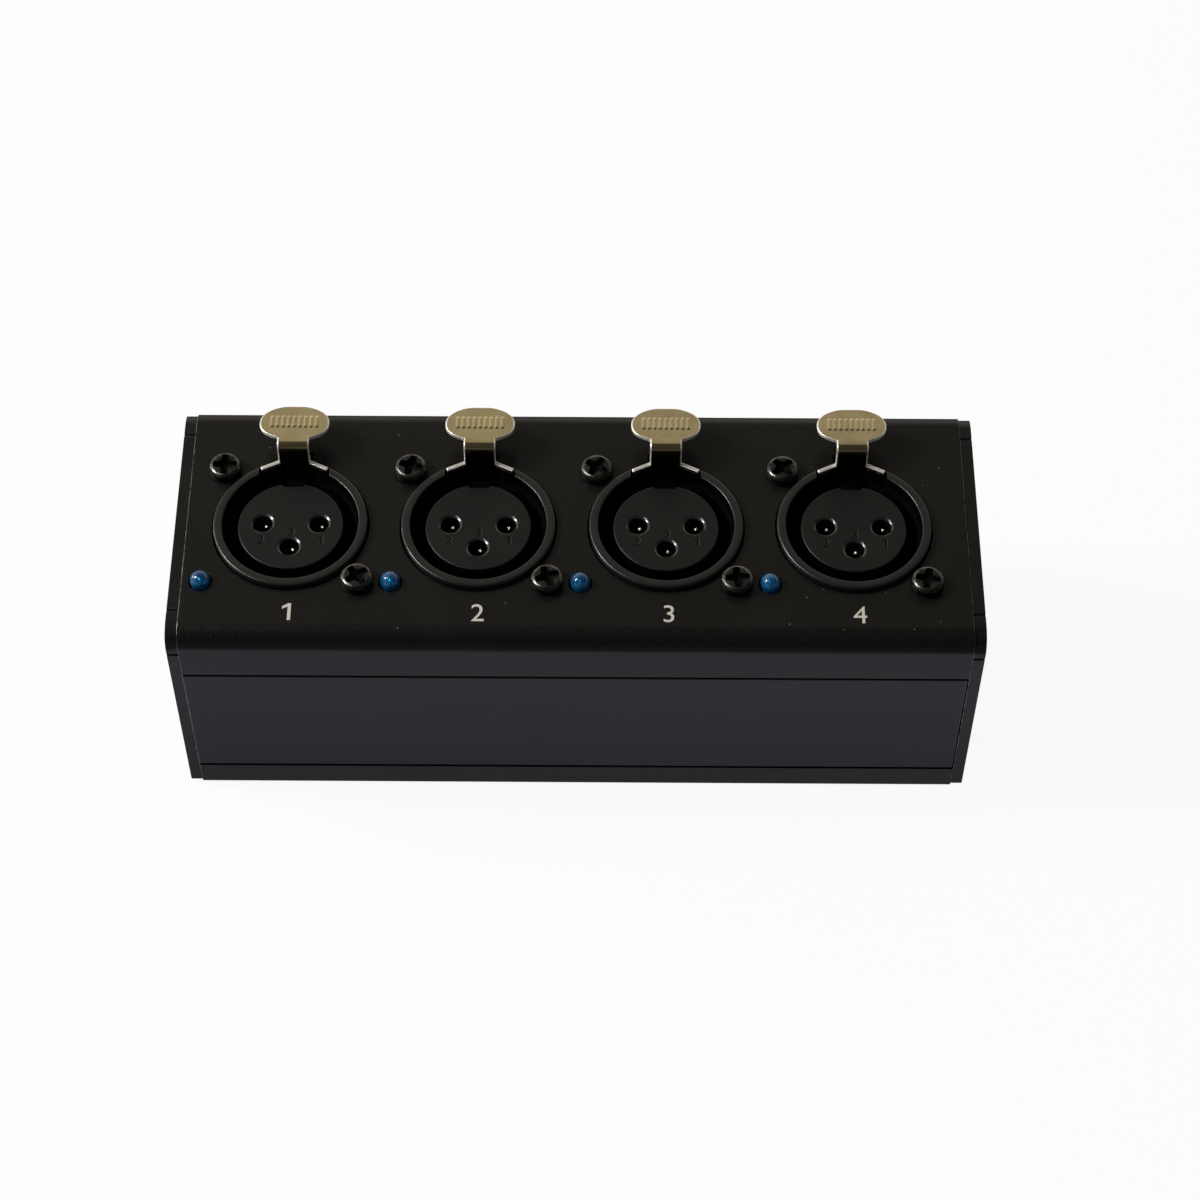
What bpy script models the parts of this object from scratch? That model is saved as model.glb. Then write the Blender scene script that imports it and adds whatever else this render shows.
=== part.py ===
"""Small stage-lighting network box with four round three-pole sockets.

Metres, +Z up, +X along the row of sockets, -Y towards the removable front cover.
The origin is the bottom centre of the body.
"""
import bpy
import bmesh
from math import cos, sin, tan, pi, radians, sqrt, asin, acos, copysign
from mathutils import Matrix, Vector

MM = 0.001

# General clearances
SEAT_GAP = 0.3 * MM          # between pieces that rest on or pass through each other
RUNNING_GAP = 0.05 * MM      # radial play of the lever's hinge stubs

# Round socket
PLUG_BORE_R = 9.6 * MM
COLLAR_WALL = 1.9 * MM
COLLAR_RISE = 1.0 * MM       # collar rim above the top face
MOUTH_CHAMFER = 0.6 * MM
COLLAR_EDGE = 0.3 * MM
SHELL_NARROWING = 0.5 * MM   # shell below the collar, against the collar's radius
SOCKET_DEPTH = 20.2 * MM     # socket below the top wall
SOCKET_FLOOR = 4.0 * MM
FLANGE_THICKNESS = 2.2 * MM
EAR_WIDTH = 2.2 * MM         # flange material around a screw
EAR_CORNER_R = 1.8 * MM
EAR_LENGTH = 7.0 * MM        # straight side of an ear before the flange's slanted edge
SCREW_X = 10.4 * MM
SCREW_Y = 10.15 * MM

# Contact insert and contacts
INSERT_R = 7.9 * MM
INSERT_RISE = 0.05 * MM      # insert face above the top face
INSERT_EDGE = 0.3 * MM
CONTACT_CHAMFER = 0.3 * MM   # around the mouth of a contact hole
KEYWAY_WIDTH = 3.0 * MM
KEYWAY_DEPTH = 0.55 * MM
CONTACT_X = 4.2 * MM
CONTACT_Y = 0.4 * MM
CONTACT_LOW_Y = -3.8 * MM
CONTACT_MOUTH_R = 1.5 * MM
CONTACT_LIP = 1.5 * MM
CONTACT_TUBE_R = 1.4 * MM
CONTACT_TUBE_WALL = 0.2 * MM
CONTACT_TUBE_LENGTH = 14.0 * MM
CONTACT_BASE = 1.0 * MM
CONTACT_TAIL_R = 0.5 * MM

# Release lever
SHEET = 0.7 * MM
LEVER_BEND_R = 0.7 * MM      # inside of the bend below the pad
PAD_OVERLAP = 1.4 * MM       # bent sheet carried on into the pad
TONGUE_WIDTH = 4.8 * MM
TONGUE_Y = 11.3 * MM         # middle of the upright sheet, from the socket's axis
PIVOT_DEPTH = 13.0 * MM      # hinge axis below the top face
STUB_R = 0.75 * MM           # hinge stubs on the lever's two sides
STUB_HOLD = 1.5 * MM         # stub length inside each cheek
CHEEK = 2.2 * MM
POCKET_DEPTH = 1.9 * MM      # room behind the upright sheet
POCKET_BACK_WALL = 0.8 * MM
POCKET_FLOOR = 1.2 * MM
KNUCKLE_R = 1.3 * MM         # rolled foot of the lever
HOOK_DEPTH = 4.0 * MM        # hook's middle below the top face
HOOK_HEIGHT = 2.4 * MM
HOOK_WIDTH = 3.0 * MM
HOOK_REACH = 0.6 * MM        # hook into the plug's annular space
PAD_RISE = 5.2 * MM          # top of the pad above the top face
PAD_WIDTH = 10.6 * MM
PAD_LENGTH = 7.4 * MM
PAD_SQUARENESS = 2.6         # exponent of the pad's rounded outline
PAD_TILT = radians(4.0)      # pad's far edge hangs a little
WING_RISE = 1.0 * MM         # top edge of the wings above the top face
WING_LENGTH = 3.0 * MM
WING_ANGLE = radians(26.0)
WING_CLEAR = 0.2 * MM
LEVER_TRAVEL = radians(8.0)
SPRING_R = 1.3 * MM
SPRING_BORE_R = 0.8 * MM
SPRING_HEIGHT = 6.5 * MM     # spring's axis above the hinge

# Lamps beside the sockets
LAMP_X = -12.7 * MM
LAMP_Y = -10.2 * MM
LAMP_R = 1.5 * MM
LAMP_RISE = 1.8 * MM
LAMP_FLANGE = 0.4 * MM
LAMP_FLANGE_HEIGHT = 1.0 * MM
LAMP_FOOT_DEPTH = 5.3 * MM   # lamp's foot below the top face
LEAD_SPACING = 2.54 * MM
LEAD_R = 0.3 * MM

# Row of sockets
SOCKET_COUNT = 4
SOCKET_SPACING = 0.8 * MM    # clear space between a socket's ear and the next lamp
ROW_SHIFT_X = -0.7 * MM      # the row sits a little left of the middle
ROW_SHIFT_Y = -0.95 * MM     # and a little in front of it
END_ROOM = 0.9 * MM          # between the outer lamp and the end of the profile

# Extruded body
WALL = 2.0 * MM
BEND_R = 3.0 * MM
FOOT_R = 1.0 * MM
CHANNEL_R = 2.5 * MM
CHANNEL_BITE = 0.1 * MM      # channel let into the wall
CHANNEL_SETBACK = 0.2 * MM
LIP_THICKNESS = 1.1 * MM
LIP_RIB = 1.0 * MM
LIP_GROOVE_DEPTH = 2.0 * MM
UPPER_LIP = 9.35 * MM
LOWER_LIP = 5.25 * MM
GUIDE_RIB = 1.0 * MM
GUIDE_REACH = 1.5 * MM

# Front cover
COVER_SEAM = 0.5 * MM
COVER_TONGUE = 0.9 * MM
COVER_END_GAP = 0.5 * MM

# End plates and their screws
PLATE_THICKNESS = 1.5 * MM
PLATE_INSET = 0.35 * MM
NICK_WIDTH = 0.6 * MM
NICK_DEPTH = 0.35 * MM
END_SCREW_R = 1.4 * MM
END_SCREW_HEAD_R = 2.6 * MM
END_SCREW_LENGTH = 9.0 * MM
HEAD_SINK = 0.1 * MM

# Pan-head screws of the sockets
PAN_R = 2.45 * MM
PAN_HEIGHT = 1.5 * MM
PAN_EDGE = 0.6 * MM          # rounding between the head's side and top
SOCKET_SCREW_R = 1.4 * MM
SOCKET_SCREW_LENGTH = 8.0 * MM
RECESS_WIDTH = 0.8 * MM
RECESS_LENGTH = 3.0 * MM
RECESS_DEPTH = 0.9 * MM
RECESS_TURN_STEP = radians(37.0)   # each screw stopped at another turn

# Circuit board and the jacks below it
BOARD_THICKNESS = 1.6 * MM
JACK_HEIGHT = 13.0 * MM
JACK_WIDTH = 16.0 * MM
JACK_LENGTH = 21.0 * MM
JACK_SCREW_WALL = 0.5 * MM   # end plate between the jack's opening and the screw beside it
JACK_SPACING = 0.9 * MM      # between the two jacks
JACK_SHEET = 0.4 * MM
PORT_WIDTH = 11.8 * MM
PORT_HEIGHT = 6.8 * MM
PORT_DEPTH = 13.0 * MM
PORT_ROOF = 1.6 * MM
PORT_SLOT_WIDTH = 6.2 * MM
PORT_SLOT_HEIGHT = 2.0 * MM
WIRE_COUNT = 8
WIRE_PITCH = 1.02 * MM
WIRE_SIDE = 0.45 * MM
WIRE_LENGTH = 8.0 * MM
WIRE_DROP = 1.4 * MM
COMB_LENGTH = 1.2 * MM       # bar that carries the contact wires
FACE_SINK = 0.1 * MM         # jack fronts behind the end plate's outer face
SUPPLY_WIDTH = 9.0 * MM
SUPPLY_HEIGHT = 11.0 * MM
SUPPLY_LENGTH = 14.0 * MM
SUPPLY_BARREL_R = 4.0 * MM
SUPPLY_BORE_R = 3.15 * MM
SUPPLY_BORE_DEPTH = 9.0 * MM
SUPPLY_PIN_R = 1.05 * MM
SUPPLY_PIN_LENGTH = 8.0 * MM

# Chips under the board, between two sockets: width, depth and height
CONTROLLER = (14.0 * MM, 14.0 * MM, 1.4 * MM)
LINE_DRIVER = (10.0 * MM, 6.0 * MM, 1.6 * MM)
CHIP_Y = 2.0 * MM
CHIP_EDGE = 0.3 * MM

# Flat sides of the round shapes
LARGE_SIDE_COUNT = 32        # collar and body opening
MEDIUM_SIDE_COUNT = 24       # insert and barrels
SMALL_SIDE_COUNT = 16        # screw heads, lamps and contact holes
PIN_SIDE_COUNT = 8           # contacts, shafts and bores
PAD_POINT_COUNT = 28         # outline of the lever's pad
BEND_STEP_COUNT = 8          # upper bends and screw channels of the profile
FOOT_STEP_COUNT = 4          # lower bends, ears and domes
LEVER_STEP_COUNT = 5         # bend between the lever's upright and its pad

# Sizes that follow from the ones above
COLLAR_R = PLUG_BORE_R + COLLAR_WALL
SHELL_R = COLLAR_R - SHELL_NARROWING
TONGUE_FRONT = TONGUE_Y - SHEET / 2
TONGUE_BACK = TONGUE_Y + SHEET / 2
POCKET_HALF = TONGUE_WIDTH / 2 + SEAT_GAP
POCKET_BACK = TONGUE_BACK + POCKET_DEPTH
SOCKET_BACK = POCKET_BACK + POCKET_BACK_WALL
EAR_X = SCREW_X + EAR_WIDTH
EAR_Y = SCREW_Y + EAR_WIDTH
WING_REACH = TONGUE_WIDTH / 2 + WING_LENGTH * cos(WING_ANGLE)

SOCKET_PITCH = EAR_X + SOCKET_SPACING + LAMP_R + LAMP_FLANGE - LAMP_X
HALF_PROFILE = ((SOCKET_COUNT - 1) * SOCKET_PITCH / 2 + abs(ROW_SHIFT_X)
                + abs(LAMP_X) + LAMP_R + LAMP_FLANGE + END_ROOM)
HALF_LENGTH = HALF_PROFILE + SEAT_GAP + PLATE_THICKNESS
PLATE_INNER = HALF_LENGTH - PLATE_THICKNESS

COVER_BACK = LIP_THICKNESS + SEAT_GAP + COVER_TONGUE      # from the front face
RIB_FRONT = COVER_BACK + SEAT_GAP
SOCKET_REACH = max(SOCKET_BACK + ROW_SHIFT_Y, EAR_Y - ROW_SHIFT_Y)
JACK_MARGIN = END_SCREW_HEAD_R + SEAT_GAP + JACK_SCREW_WALL + SEAT_GAP
JACK_ROW = JACK_MARGIN + JACK_WIDTH + JACK_SPACING + SUPPLY_WIDTH + SEAT_GAP + CHANNEL_R
CHANNEL_Y = max(SOCKET_REACH + SEAT_GAP + CHANNEL_R, JACK_ROW / 2)
HALF_DEPTH = CHANNEL_Y + CHANNEL_R + CHANNEL_SETBACK + RIB_FRONT
JACK_Y = CHANNEL_Y - JACK_MARGIN - JACK_WIDTH / 2
SUPPLY_Y = JACK_Y - JACK_WIDTH / 2 - JACK_SPACING - SUPPLY_WIDTH / 2

BOARD_LOW = WALL + SEAT_GAP + JACK_HEIGHT + SEAT_GAP
BOARD_TOP = BOARD_LOW + BOARD_THICKNESS
SHELL_LOW = BOARD_TOP + SEAT_GAP
SHELL_TOP = SHELL_LOW + SOCKET_DEPTH
PANEL_LOW = SHELL_TOP + SEAT_GAP
HEIGHT = PANEL_LOW + WALL
CHANNEL_RISE = WALL + CHANNEL_R - CHANNEL_BITE
CHANNEL_HEIGHTS = (CHANNEL_RISE, HEIGHT - CHANNEL_RISE)
CHANNEL_BORE_R = END_SCREW_R + SEAT_GAP

PIVOT_Z = HEIGHT - PIVOT_DEPTH
STUB_HALF = POCKET_HALF + STUB_HOLD
POCKET_LOW = PIVOT_Z - KNUCKLE_R - SEAT_GAP
SHELL_FLOOR_TOP = SHELL_LOW + SOCKET_FLOOR
INSERT_LOW = SHELL_FLOOR_TOP + SEAT_GAP
CONTACT_PLACES = ((-CONTACT_X, CONTACT_Y), (CONTACT_X, CONTACT_Y), (0.0, CONTACT_LOW_Y))
LEAD_HOLE_R = LEAD_R + SEAT_GAP
TAIL_HOLE_R = CONTACT_TAIL_R + SEAT_GAP
JACK_TOP = BOARD_LOW - SEAT_GAP
FACE_X = HALF_LENGTH - FACE_SINK


def clear_scene():
    for item in list(bpy.data.objects):
        bpy.data.objects.remove(item, do_unlink=True)


def material(name, colour, roughness, metallic):
    made = bpy.data.materials.new(name)
    made.use_nodes = True
    shader = made.node_tree.nodes["Principled BSDF"]
    shader.inputs["Base Color"].default_value = (*colour, 1.0)
    shader.inputs["Roughness"].default_value = roughness
    shader.inputs["Metallic"].default_value = metallic
    made.diffuse_color = (*colour, 1.0)
    return made


# Solids in a bmesh

def box(low, high):
    shape = bmesh.new()
    size = Vector(high) - Vector(low)
    middle = (Vector(high) + Vector(low)) / 2
    place = Matrix.Translation(middle) @ Matrix.Diagonal((*size, 1.0))
    bmesh.ops.create_cube(shape, size=1.0, matrix=place)
    return shape


def prism(outline, low, high, axis="Z"):
    """Closed body with a flat outline, drawn along one axis."""
    order = {"X": (2, 0, 1), "Y": (0, 2, 1), "Z": (0, 1, 2)}[axis]
    shape = bmesh.new()
    rings = []
    for level in (low, high):
        ring = []
        for a, b in outline:
            point = (a, b, level)
            ring.append(shape.verts.new([point[index] for index in order]))
        rings.append(ring)
    count = len(outline)
    for i in range(count):
        j = (i + 1) % count
        shape.faces.new((rings[0][i], rings[0][j], rings[1][j], rings[1][i]))
    shape.faces.new(rings[0])
    shape.faces.new(rings[1])
    bmesh.ops.recalc_face_normals(shape, faces=shape.faces)
    return shape


def turned(profile, sides, axis="Z", centre=(0.0, 0.0, 0.0)):
    """Closed body turned from (radius, height) points about one axis."""
    order = {"X": (2, 0, 1), "Y": (0, 2, 1), "Z": (0, 1, 2)}[axis]
    shape = bmesh.new()
    rings = []
    for radius, level in profile:
        ring = []
        turns = sides if radius > 0.0 else 1
        for k in range(turns):
            angle = 2 * pi * (k + 0.5) / sides
            point = (radius * cos(angle), radius * sin(angle), level)
            ring.append(shape.verts.new([point[index] + centre[i] for i, index in enumerate(order)]))
        rings.append(ring)
    closed = profile[0][0] > 0.0 and profile[-1][0] > 0.0
    steps = len(rings) if closed else len(rings) - 1
    for i in range(steps):
        one = rings[i]
        two = rings[(i + 1) % len(rings)]
        for k in range(sides):
            n = (k + 1) % sides
            corners = [one[k % len(one)], one[n % len(one)], two[n % len(two)], two[k % len(two)]]
            unique = list(dict.fromkeys(corners))
            if len(unique) > 2:
                shape.faces.new(unique)
    bmesh.ops.recalc_face_normals(shape, faces=shape.faces)
    return shape


def cylinder(radius, low, high, sides, axis="Z", centre=(0.0, 0.0, 0.0)):
    return turned(((0.0, low), (radius, low), (radius, high), (0.0, high)), sides, axis, centre)


def arc(centre_a, centre_b, radius, start, end, steps):
    return [(centre_a + radius * cos(start + (end - start) * k / steps),
             centre_b + radius * sin(start + (end - start) * k / steps)) for k in range(steps + 1)]


def merged(shapes):
    """Several separate closed bodies in one bmesh."""
    whole = bmesh.new()
    for shape in shapes:
        piece = bpy.data.meshes.new("piece")
        shape.to_mesh(piece)
        shape.free()
        whole.from_mesh(piece)
        bpy.data.meshes.remove(piece)
    return whole


def moved(shape, x=0.0, y=0.0, z=0.0, turn=None):
    place = Matrix.Translation((x, y, z))
    if turn is not None:
        place = place @ turn
    bmesh.ops.transform(shape, matrix=place, verts=shape.verts)
    return shape


def mesh_from(name, shape):
    made = bpy.data.meshes.new(name)
    shape.to_mesh(made)
    shape.free()
    return made


def carved(name, base, steps):
    """Base body with unions and cuts made in order."""
    target = bpy.data.objects.new(name, mesh_from(name, base))
    bpy.context.scene.collection.objects.link(target)
    tools = []
    for operation, shape in steps:
        tool = bpy.data.objects.new("tool", mesh_from("tool", shape))
        bpy.context.scene.collection.objects.link(tool)
        modifier = target.modifiers.new("shape", "BOOLEAN")
        modifier.operation = operation
        modifier.solver = "EXACT"
        modifier.object = tool
        tools.append(tool)
    graph = bpy.context.evaluated_depsgraph_get()
    result = bpy.data.meshes.new_from_object(target.evaluated_get(graph))
    for item in [target] + tools:
        old = item.data
        bpy.data.objects.remove(item, do_unlink=True)
        bpy.data.meshes.remove(old)
    result.name = name
    return result


def finished(mesh, smooth_below):
    """Weld stray points and shade the round sides smooth."""
    shape = bmesh.new()
    shape.from_mesh(mesh)
    bmesh.ops.remove_doubles(shape, verts=shape.verts, dist=1e-7)
    bmesh.ops.dissolve_degenerate(shape, edges=shape.edges, dist=1e-7)
    bmesh.ops.recalc_face_normals(shape, faces=shape.faces)
    shape.to_mesh(mesh)
    shape.free()
    mesh.shade_smooth()
    mesh.set_sharp_from_angle(angle=smooth_below)
    return mesh


def node(name, mesh, skin, location=(0.0, 0.0, 0.0), rotation=(0.0, 0.0, 0.0)):
    if not mesh.materials:
        finished(mesh, radians(32.0))
        mesh.materials.append(skin)
    made = bpy.data.objects.new(name, mesh)
    made.location = location
    made.rotation_mode = "ZYX"
    made.rotation_euler = rotation
    bpy.context.scene.collection.objects.link(made)
    return made


# Extruded body

def body_outline():
    front = -HALF_DEPTH
    back = HALF_DEPTH
    lip_back = front + LIP_THICKNESS
    rib_front = front + RIB_FRONT
    rib_back = rib_front + LIP_RIB
    upper_edge = HEIGHT - UPPER_LIP
    upper_roof = upper_edge + LIP_GROOVE_DEPTH
    lower_floor = LOWER_LIP - LIP_GROOVE_DEPTH
    inner_back = back - WALL
    low, high = CHANNEL_HEIGHTS
    lean = acos((CHANNEL_R - CHANNEL_BITE) / CHANNEL_R)
    steps = BEND_STEP_COUNT
    # outside: from the upper lip over the top, down the back and along the bottom
    points = arc(front + BEND_R, HEIGHT - BEND_R, BEND_R, pi, pi / 2, steps)
    points += arc(back - BEND_R, HEIGHT - BEND_R, BEND_R, pi / 2, 0.0, steps)
    points += arc(back - FOOT_R, FOOT_R, FOOT_R, 0.0, -pi / 2, FOOT_STEP_COUNT)
    points += arc(front + FOOT_R, FOOT_R, FOOT_R, -pi / 2, -pi, FOOT_STEP_COUNT)
    # lower lip with its groove, then over the two lower channels
    points += [(front, LOWER_LIP), (lip_back, LOWER_LIP), (lip_back, lower_floor),
               (rib_front, lower_floor), (rib_front, LOWER_LIP)]
    entry = pi - asin((LOWER_LIP - low) / CHANNEL_R)
    points += arc(-CHANNEL_Y, low, CHANNEL_R, entry, lean - pi / 2, steps)
    points += arc(CHANNEL_Y, low, CHANNEL_R, 1.5 * pi - lean, lean - pi / 2, steps)
    points.append((inner_back, WALL))
    # guide ribs for the board on the back wall
    for rib in (BOARD_LOW - SEAT_GAP - GUIDE_RIB, BOARD_TOP + SEAT_GAP):
        points += [(inner_back, rib), (inner_back - GUIDE_REACH, rib),
                   (inner_back - GUIDE_REACH, rib + GUIDE_RIB), (inner_back, rib + GUIDE_RIB)]
    points.append((inner_back, PANEL_LOW))
    # under the two upper channels, then the upper lip with its groove
    points += arc(CHANNEL_Y, high, CHANNEL_R, pi / 2 - lean, lean - 1.5 * pi, steps)
    leave = -acos((rib_back + CHANNEL_Y) / CHANNEL_R)
    points += arc(-CHANNEL_Y, high, CHANNEL_R, pi / 2 - lean, leave, steps)
    points += [(rib_back, upper_edge), (rib_front, upper_edge), (rib_front, upper_roof),
               (lip_back, upper_roof), (lip_back, upper_edge), (front, upper_edge)]
    return points


def socket_places():
    first = ROW_SHIFT_X - (SOCKET_COUNT - 1) * SOCKET_PITCH / 2
    return [(first + i * SOCKET_PITCH, ROW_SHIFT_Y) for i in range(SOCKET_COUNT)]


def screw_places():
    return ((-SCREW_X, SCREW_Y), (SCREW_X, -SCREW_Y))


def panel_cutter():
    """Everything that is drilled and milled through the top wall."""
    low = PANEL_LOW - WALL
    high = HEIGHT + WALL
    opening_r = COLLAR_R + SEAT_GAP
    notch_back = TONGUE_BACK + (HEIGHT - PIVOT_Z) * tan(LEVER_TRAVEL) + SEAT_GAP
    start = asin(POCKET_HALF / opening_r)
    rim = arc(0.0, 0.0, opening_r, pi / 2 + start, 2.5 * pi - start, LARGE_SIDE_COUNT)
    outline = rim + [(POCKET_HALF, notch_back), (-POCKET_HALF, notch_back)]
    cutters = []
    for x, y in socket_places():
        cutters.append(moved(prism(outline, low, high), x, y))
        for sx, sy in screw_places():
            cutters.append(cylinder(SOCKET_SCREW_R + SEAT_GAP, low, high, PIN_SIDE_COUNT, "Z",
                                    (x + sx, y + sy, 0.0)))
        cutters.append(cylinder(LAMP_R + SEAT_GAP, low, high, SMALL_SIDE_COUNT, "Z",
                                (x + LAMP_X, y + LAMP_Y, 0.0)))
    return merged(cutters)


def channel_cutter():
    cutters = []
    for side in (-1, 1):
        for y in (-CHANNEL_Y, CHANNEL_Y):
            for z in CHANNEL_HEIGHTS:
                near = side * (HALF_PROFILE - END_SCREW_LENGTH - SEAT_GAP)
                far = side * (HALF_PROFILE + WALL)
                cutters.append(cylinder(CHANNEL_BORE_R, min(near, far), max(near, far),
                                        PIN_SIDE_COUNT, "X", (0.0, y, z)))
    return merged(cutters)


def make_body():
    skin = material("black anodised aluminium", (0.014, 0.013, 0.012), 0.45, 0.6)
    base = prism(body_outline(), -HALF_PROFILE, HALF_PROFILE, "X")
    mesh = carved("body_shell", base, [("DIFFERENCE", panel_cutter()),
                                       ("DIFFERENCE", channel_cutter())])
    node("body_shell", mesh, skin)


# Front cover

def make_cover():
    skin = material("black anodised cover", (0.022, 0.023, 0.025), 0.42, 0.6)
    front = -HALF_DEPTH
    tongue_front = front + LIP_THICKNESS + SEAT_GAP
    back = front + COVER_BACK
    low = LOWER_LIP + COVER_SEAM
    high = HEIGHT - UPPER_LIP - COVER_SEAM
    tongue_low = LOWER_LIP - LIP_GROOVE_DEPTH + SEAT_GAP
    tongue_high = HEIGHT - UPPER_LIP + LIP_GROOVE_DEPTH - SEAT_GAP
    points = [(front, low), (front, high), (tongue_front, high), (tongue_front, tongue_high),
              (back, tongue_high)]
    for rib in (BOARD_TOP + SEAT_GAP, BOARD_LOW - SEAT_GAP - GUIDE_RIB):
        points += [(back, rib + GUIDE_RIB), (back + GUIDE_REACH, rib + GUIDE_RIB),
                   (back + GUIDE_REACH, rib), (back, rib)]
    points += [(back, tongue_low), (tongue_front, tongue_low), (tongue_front, low)]
    shape = prism(points, -HALF_PROFILE, PLATE_INNER - COVER_END_GAP, "X")
    node("front_cover", mesh_from("front_cover", shape), skin)


# End plates

def plate_outline():
    reach = HALF_DEPTH - PLATE_INSET
    low = PLATE_INSET
    high = HEIGHT - PLATE_INSET
    nick = NICK_WIDTH / 2
    side_z = CHANNEL_HEIGHTS[1]
    deep = NICK_DEPTH
    points = []
    points += [(-reach, side_z - nick), (deep - reach, side_z), (-reach, side_z + nick)]
    points += arc(BEND_R - reach, high - BEND_R, BEND_R, pi, pi / 2, BEND_STEP_COUNT)
    for y in (-CHANNEL_Y, CHANNEL_Y):
        points += [(y - nick, high), (y, high - deep), (y + nick, high)]
    points += arc(reach - BEND_R, high - BEND_R, BEND_R, pi / 2, 0.0, BEND_STEP_COUNT)
    points += [(reach, side_z + nick), (reach - deep, side_z), (reach, side_z - nick)]
    points += arc(reach - FOOT_R, low + FOOT_R, FOOT_R, 0.0, -pi / 2, FOOT_STEP_COUNT)
    points += arc(FOOT_R - reach, low + FOOT_R, FOOT_R, -pi / 2, -pi, FOOT_STEP_COUNT)
    return points


def screw_profile(shaft_r, head_r, length, grow):
    """Countersunk screw's profile from its flat head down, at height 0 to -length."""
    cone = head_r - shaft_r
    return ((0.0, 0.0), (head_r + grow, 0.0), (shaft_r + grow, -cone), (shaft_r + grow, -length),
            (0.0, -length))


def countersink(side, y, z):
    outer = HALF_LENGTH - HEAD_SINK
    profile = [(r, side * (outer + h)) for r, h in
               screw_profile(END_SCREW_R, END_SCREW_HEAD_R, END_SCREW_LENGTH, SEAT_GAP)]
    lead_in = (END_SCREW_HEAD_R + SEAT_GAP, side * (HALF_LENGTH + WALL))
    profile = [(0.0, lead_in[1]), lead_in] + profile[1:]
    return turned(profile, SMALL_SIDE_COUNT, "X", (0.0, y, z))


def make_end_plate(name, side, cut_jacks):
    skin = material(name + " anodised", (0.020, 0.020, 0.019), 0.45, 0.6)
    near = side * PLATE_INNER
    far = side * HALF_LENGTH
    base = prism(plate_outline(), min(near, far), max(near, far), "X")
    cutters = [countersink(side, y, z) for y in (-CHANNEL_Y, CHANNEL_Y) for z in CHANNEL_HEIGHTS]
    if cut_jacks:
        half = JACK_WIDTH / 2 + SEAT_GAP
        cutters.append(box((PLATE_INNER - WALL, JACK_Y - half, JACK_TOP - JACK_HEIGHT - SEAT_GAP),
                           (HALF_LENGTH + WALL, JACK_Y + half, JACK_TOP + SEAT_GAP)))
        cutters.append(cylinder(SUPPLY_BARREL_R + SEAT_GAP, PLATE_INNER - WALL, HALF_LENGTH + WALL,
                                MEDIUM_SIDE_COUNT, "X", (0.0, SUPPLY_Y, JACK_TOP - SUPPLY_HEIGHT / 2)))
    node(name, carved(name, base, [("DIFFERENCE", merged(cutters))]), skin)


def cross_recess(top):
    """The two arms of a cross recess, each a cut of its own."""
    arms = []
    for quarter in (0, 1):
        arm = box((-RECESS_LENGTH / 2, -RECESS_WIDTH / 2, top - RECESS_DEPTH),
                  (RECESS_LENGTH / 2, RECESS_WIDTH / 2, top + RECESS_DEPTH))
        arms.append(("DIFFERENCE", moved(arm, turn=Matrix.Rotation(quarter * pi / 2, 4, "Z"))))
    return arms


def make_end_screws():
    skin = material("zinc-plated steel", (0.12, 0.12, 0.125), 0.4, 0.9)
    profile = screw_profile(END_SCREW_R, END_SCREW_HEAD_R, END_SCREW_LENGTH, 0.0)
    mesh = carved("end_screw", turned(profile, SMALL_SIDE_COUNT), cross_recess(0.0))
    for name, side in (("left", -1), ("right", 1)):
        places = [(y, z) for y in (-CHANNEL_Y, CHANNEL_Y) for z in CHANNEL_HEIGHTS]
        for k, (y, z) in enumerate(places):
            node("end_screw_%s_%d" % (name, k + 1), mesh, skin,
                 (side * (HALF_LENGTH - HEAD_SINK), y, z), (0.0, side * pi / 2, k * RECESS_TURN_STEP))


# Round sockets

def flange_outline():
    """Two square ears on opposite corners, slanted edges on the other two."""
    side = EAR_LENGTH
    r = EAR_CORNER_R
    lobe = POCKET_HALF + CHEEK + SEAT_GAP / 2
    lobe_back = SOCKET_BACK - SEAT_GAP / 2
    points = arc(EAR_X - r, r - EAR_Y, r, -pi / 2, 0.0, FOOT_STEP_COUNT)
    points += [(EAR_X, side - EAR_Y), (COLLAR_R, side - EAR_Y + r), (COLLAR_R, EAR_Y - side)]
    points += [(lobe + r, EAR_Y), (lobe, EAR_Y), (lobe, lobe_back), (-lobe, lobe_back), (-lobe, EAR_Y)]
    points += arc(r - EAR_X, EAR_Y - r, r, pi / 2, pi, FOOT_STEP_COUNT)
    points += [(-EAR_X, EAR_Y - side), (-COLLAR_R, EAR_Y - side - r), (-COLLAR_R, side - EAR_Y)]
    points += [(side - EAR_X, -EAR_Y)]
    return points


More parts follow.
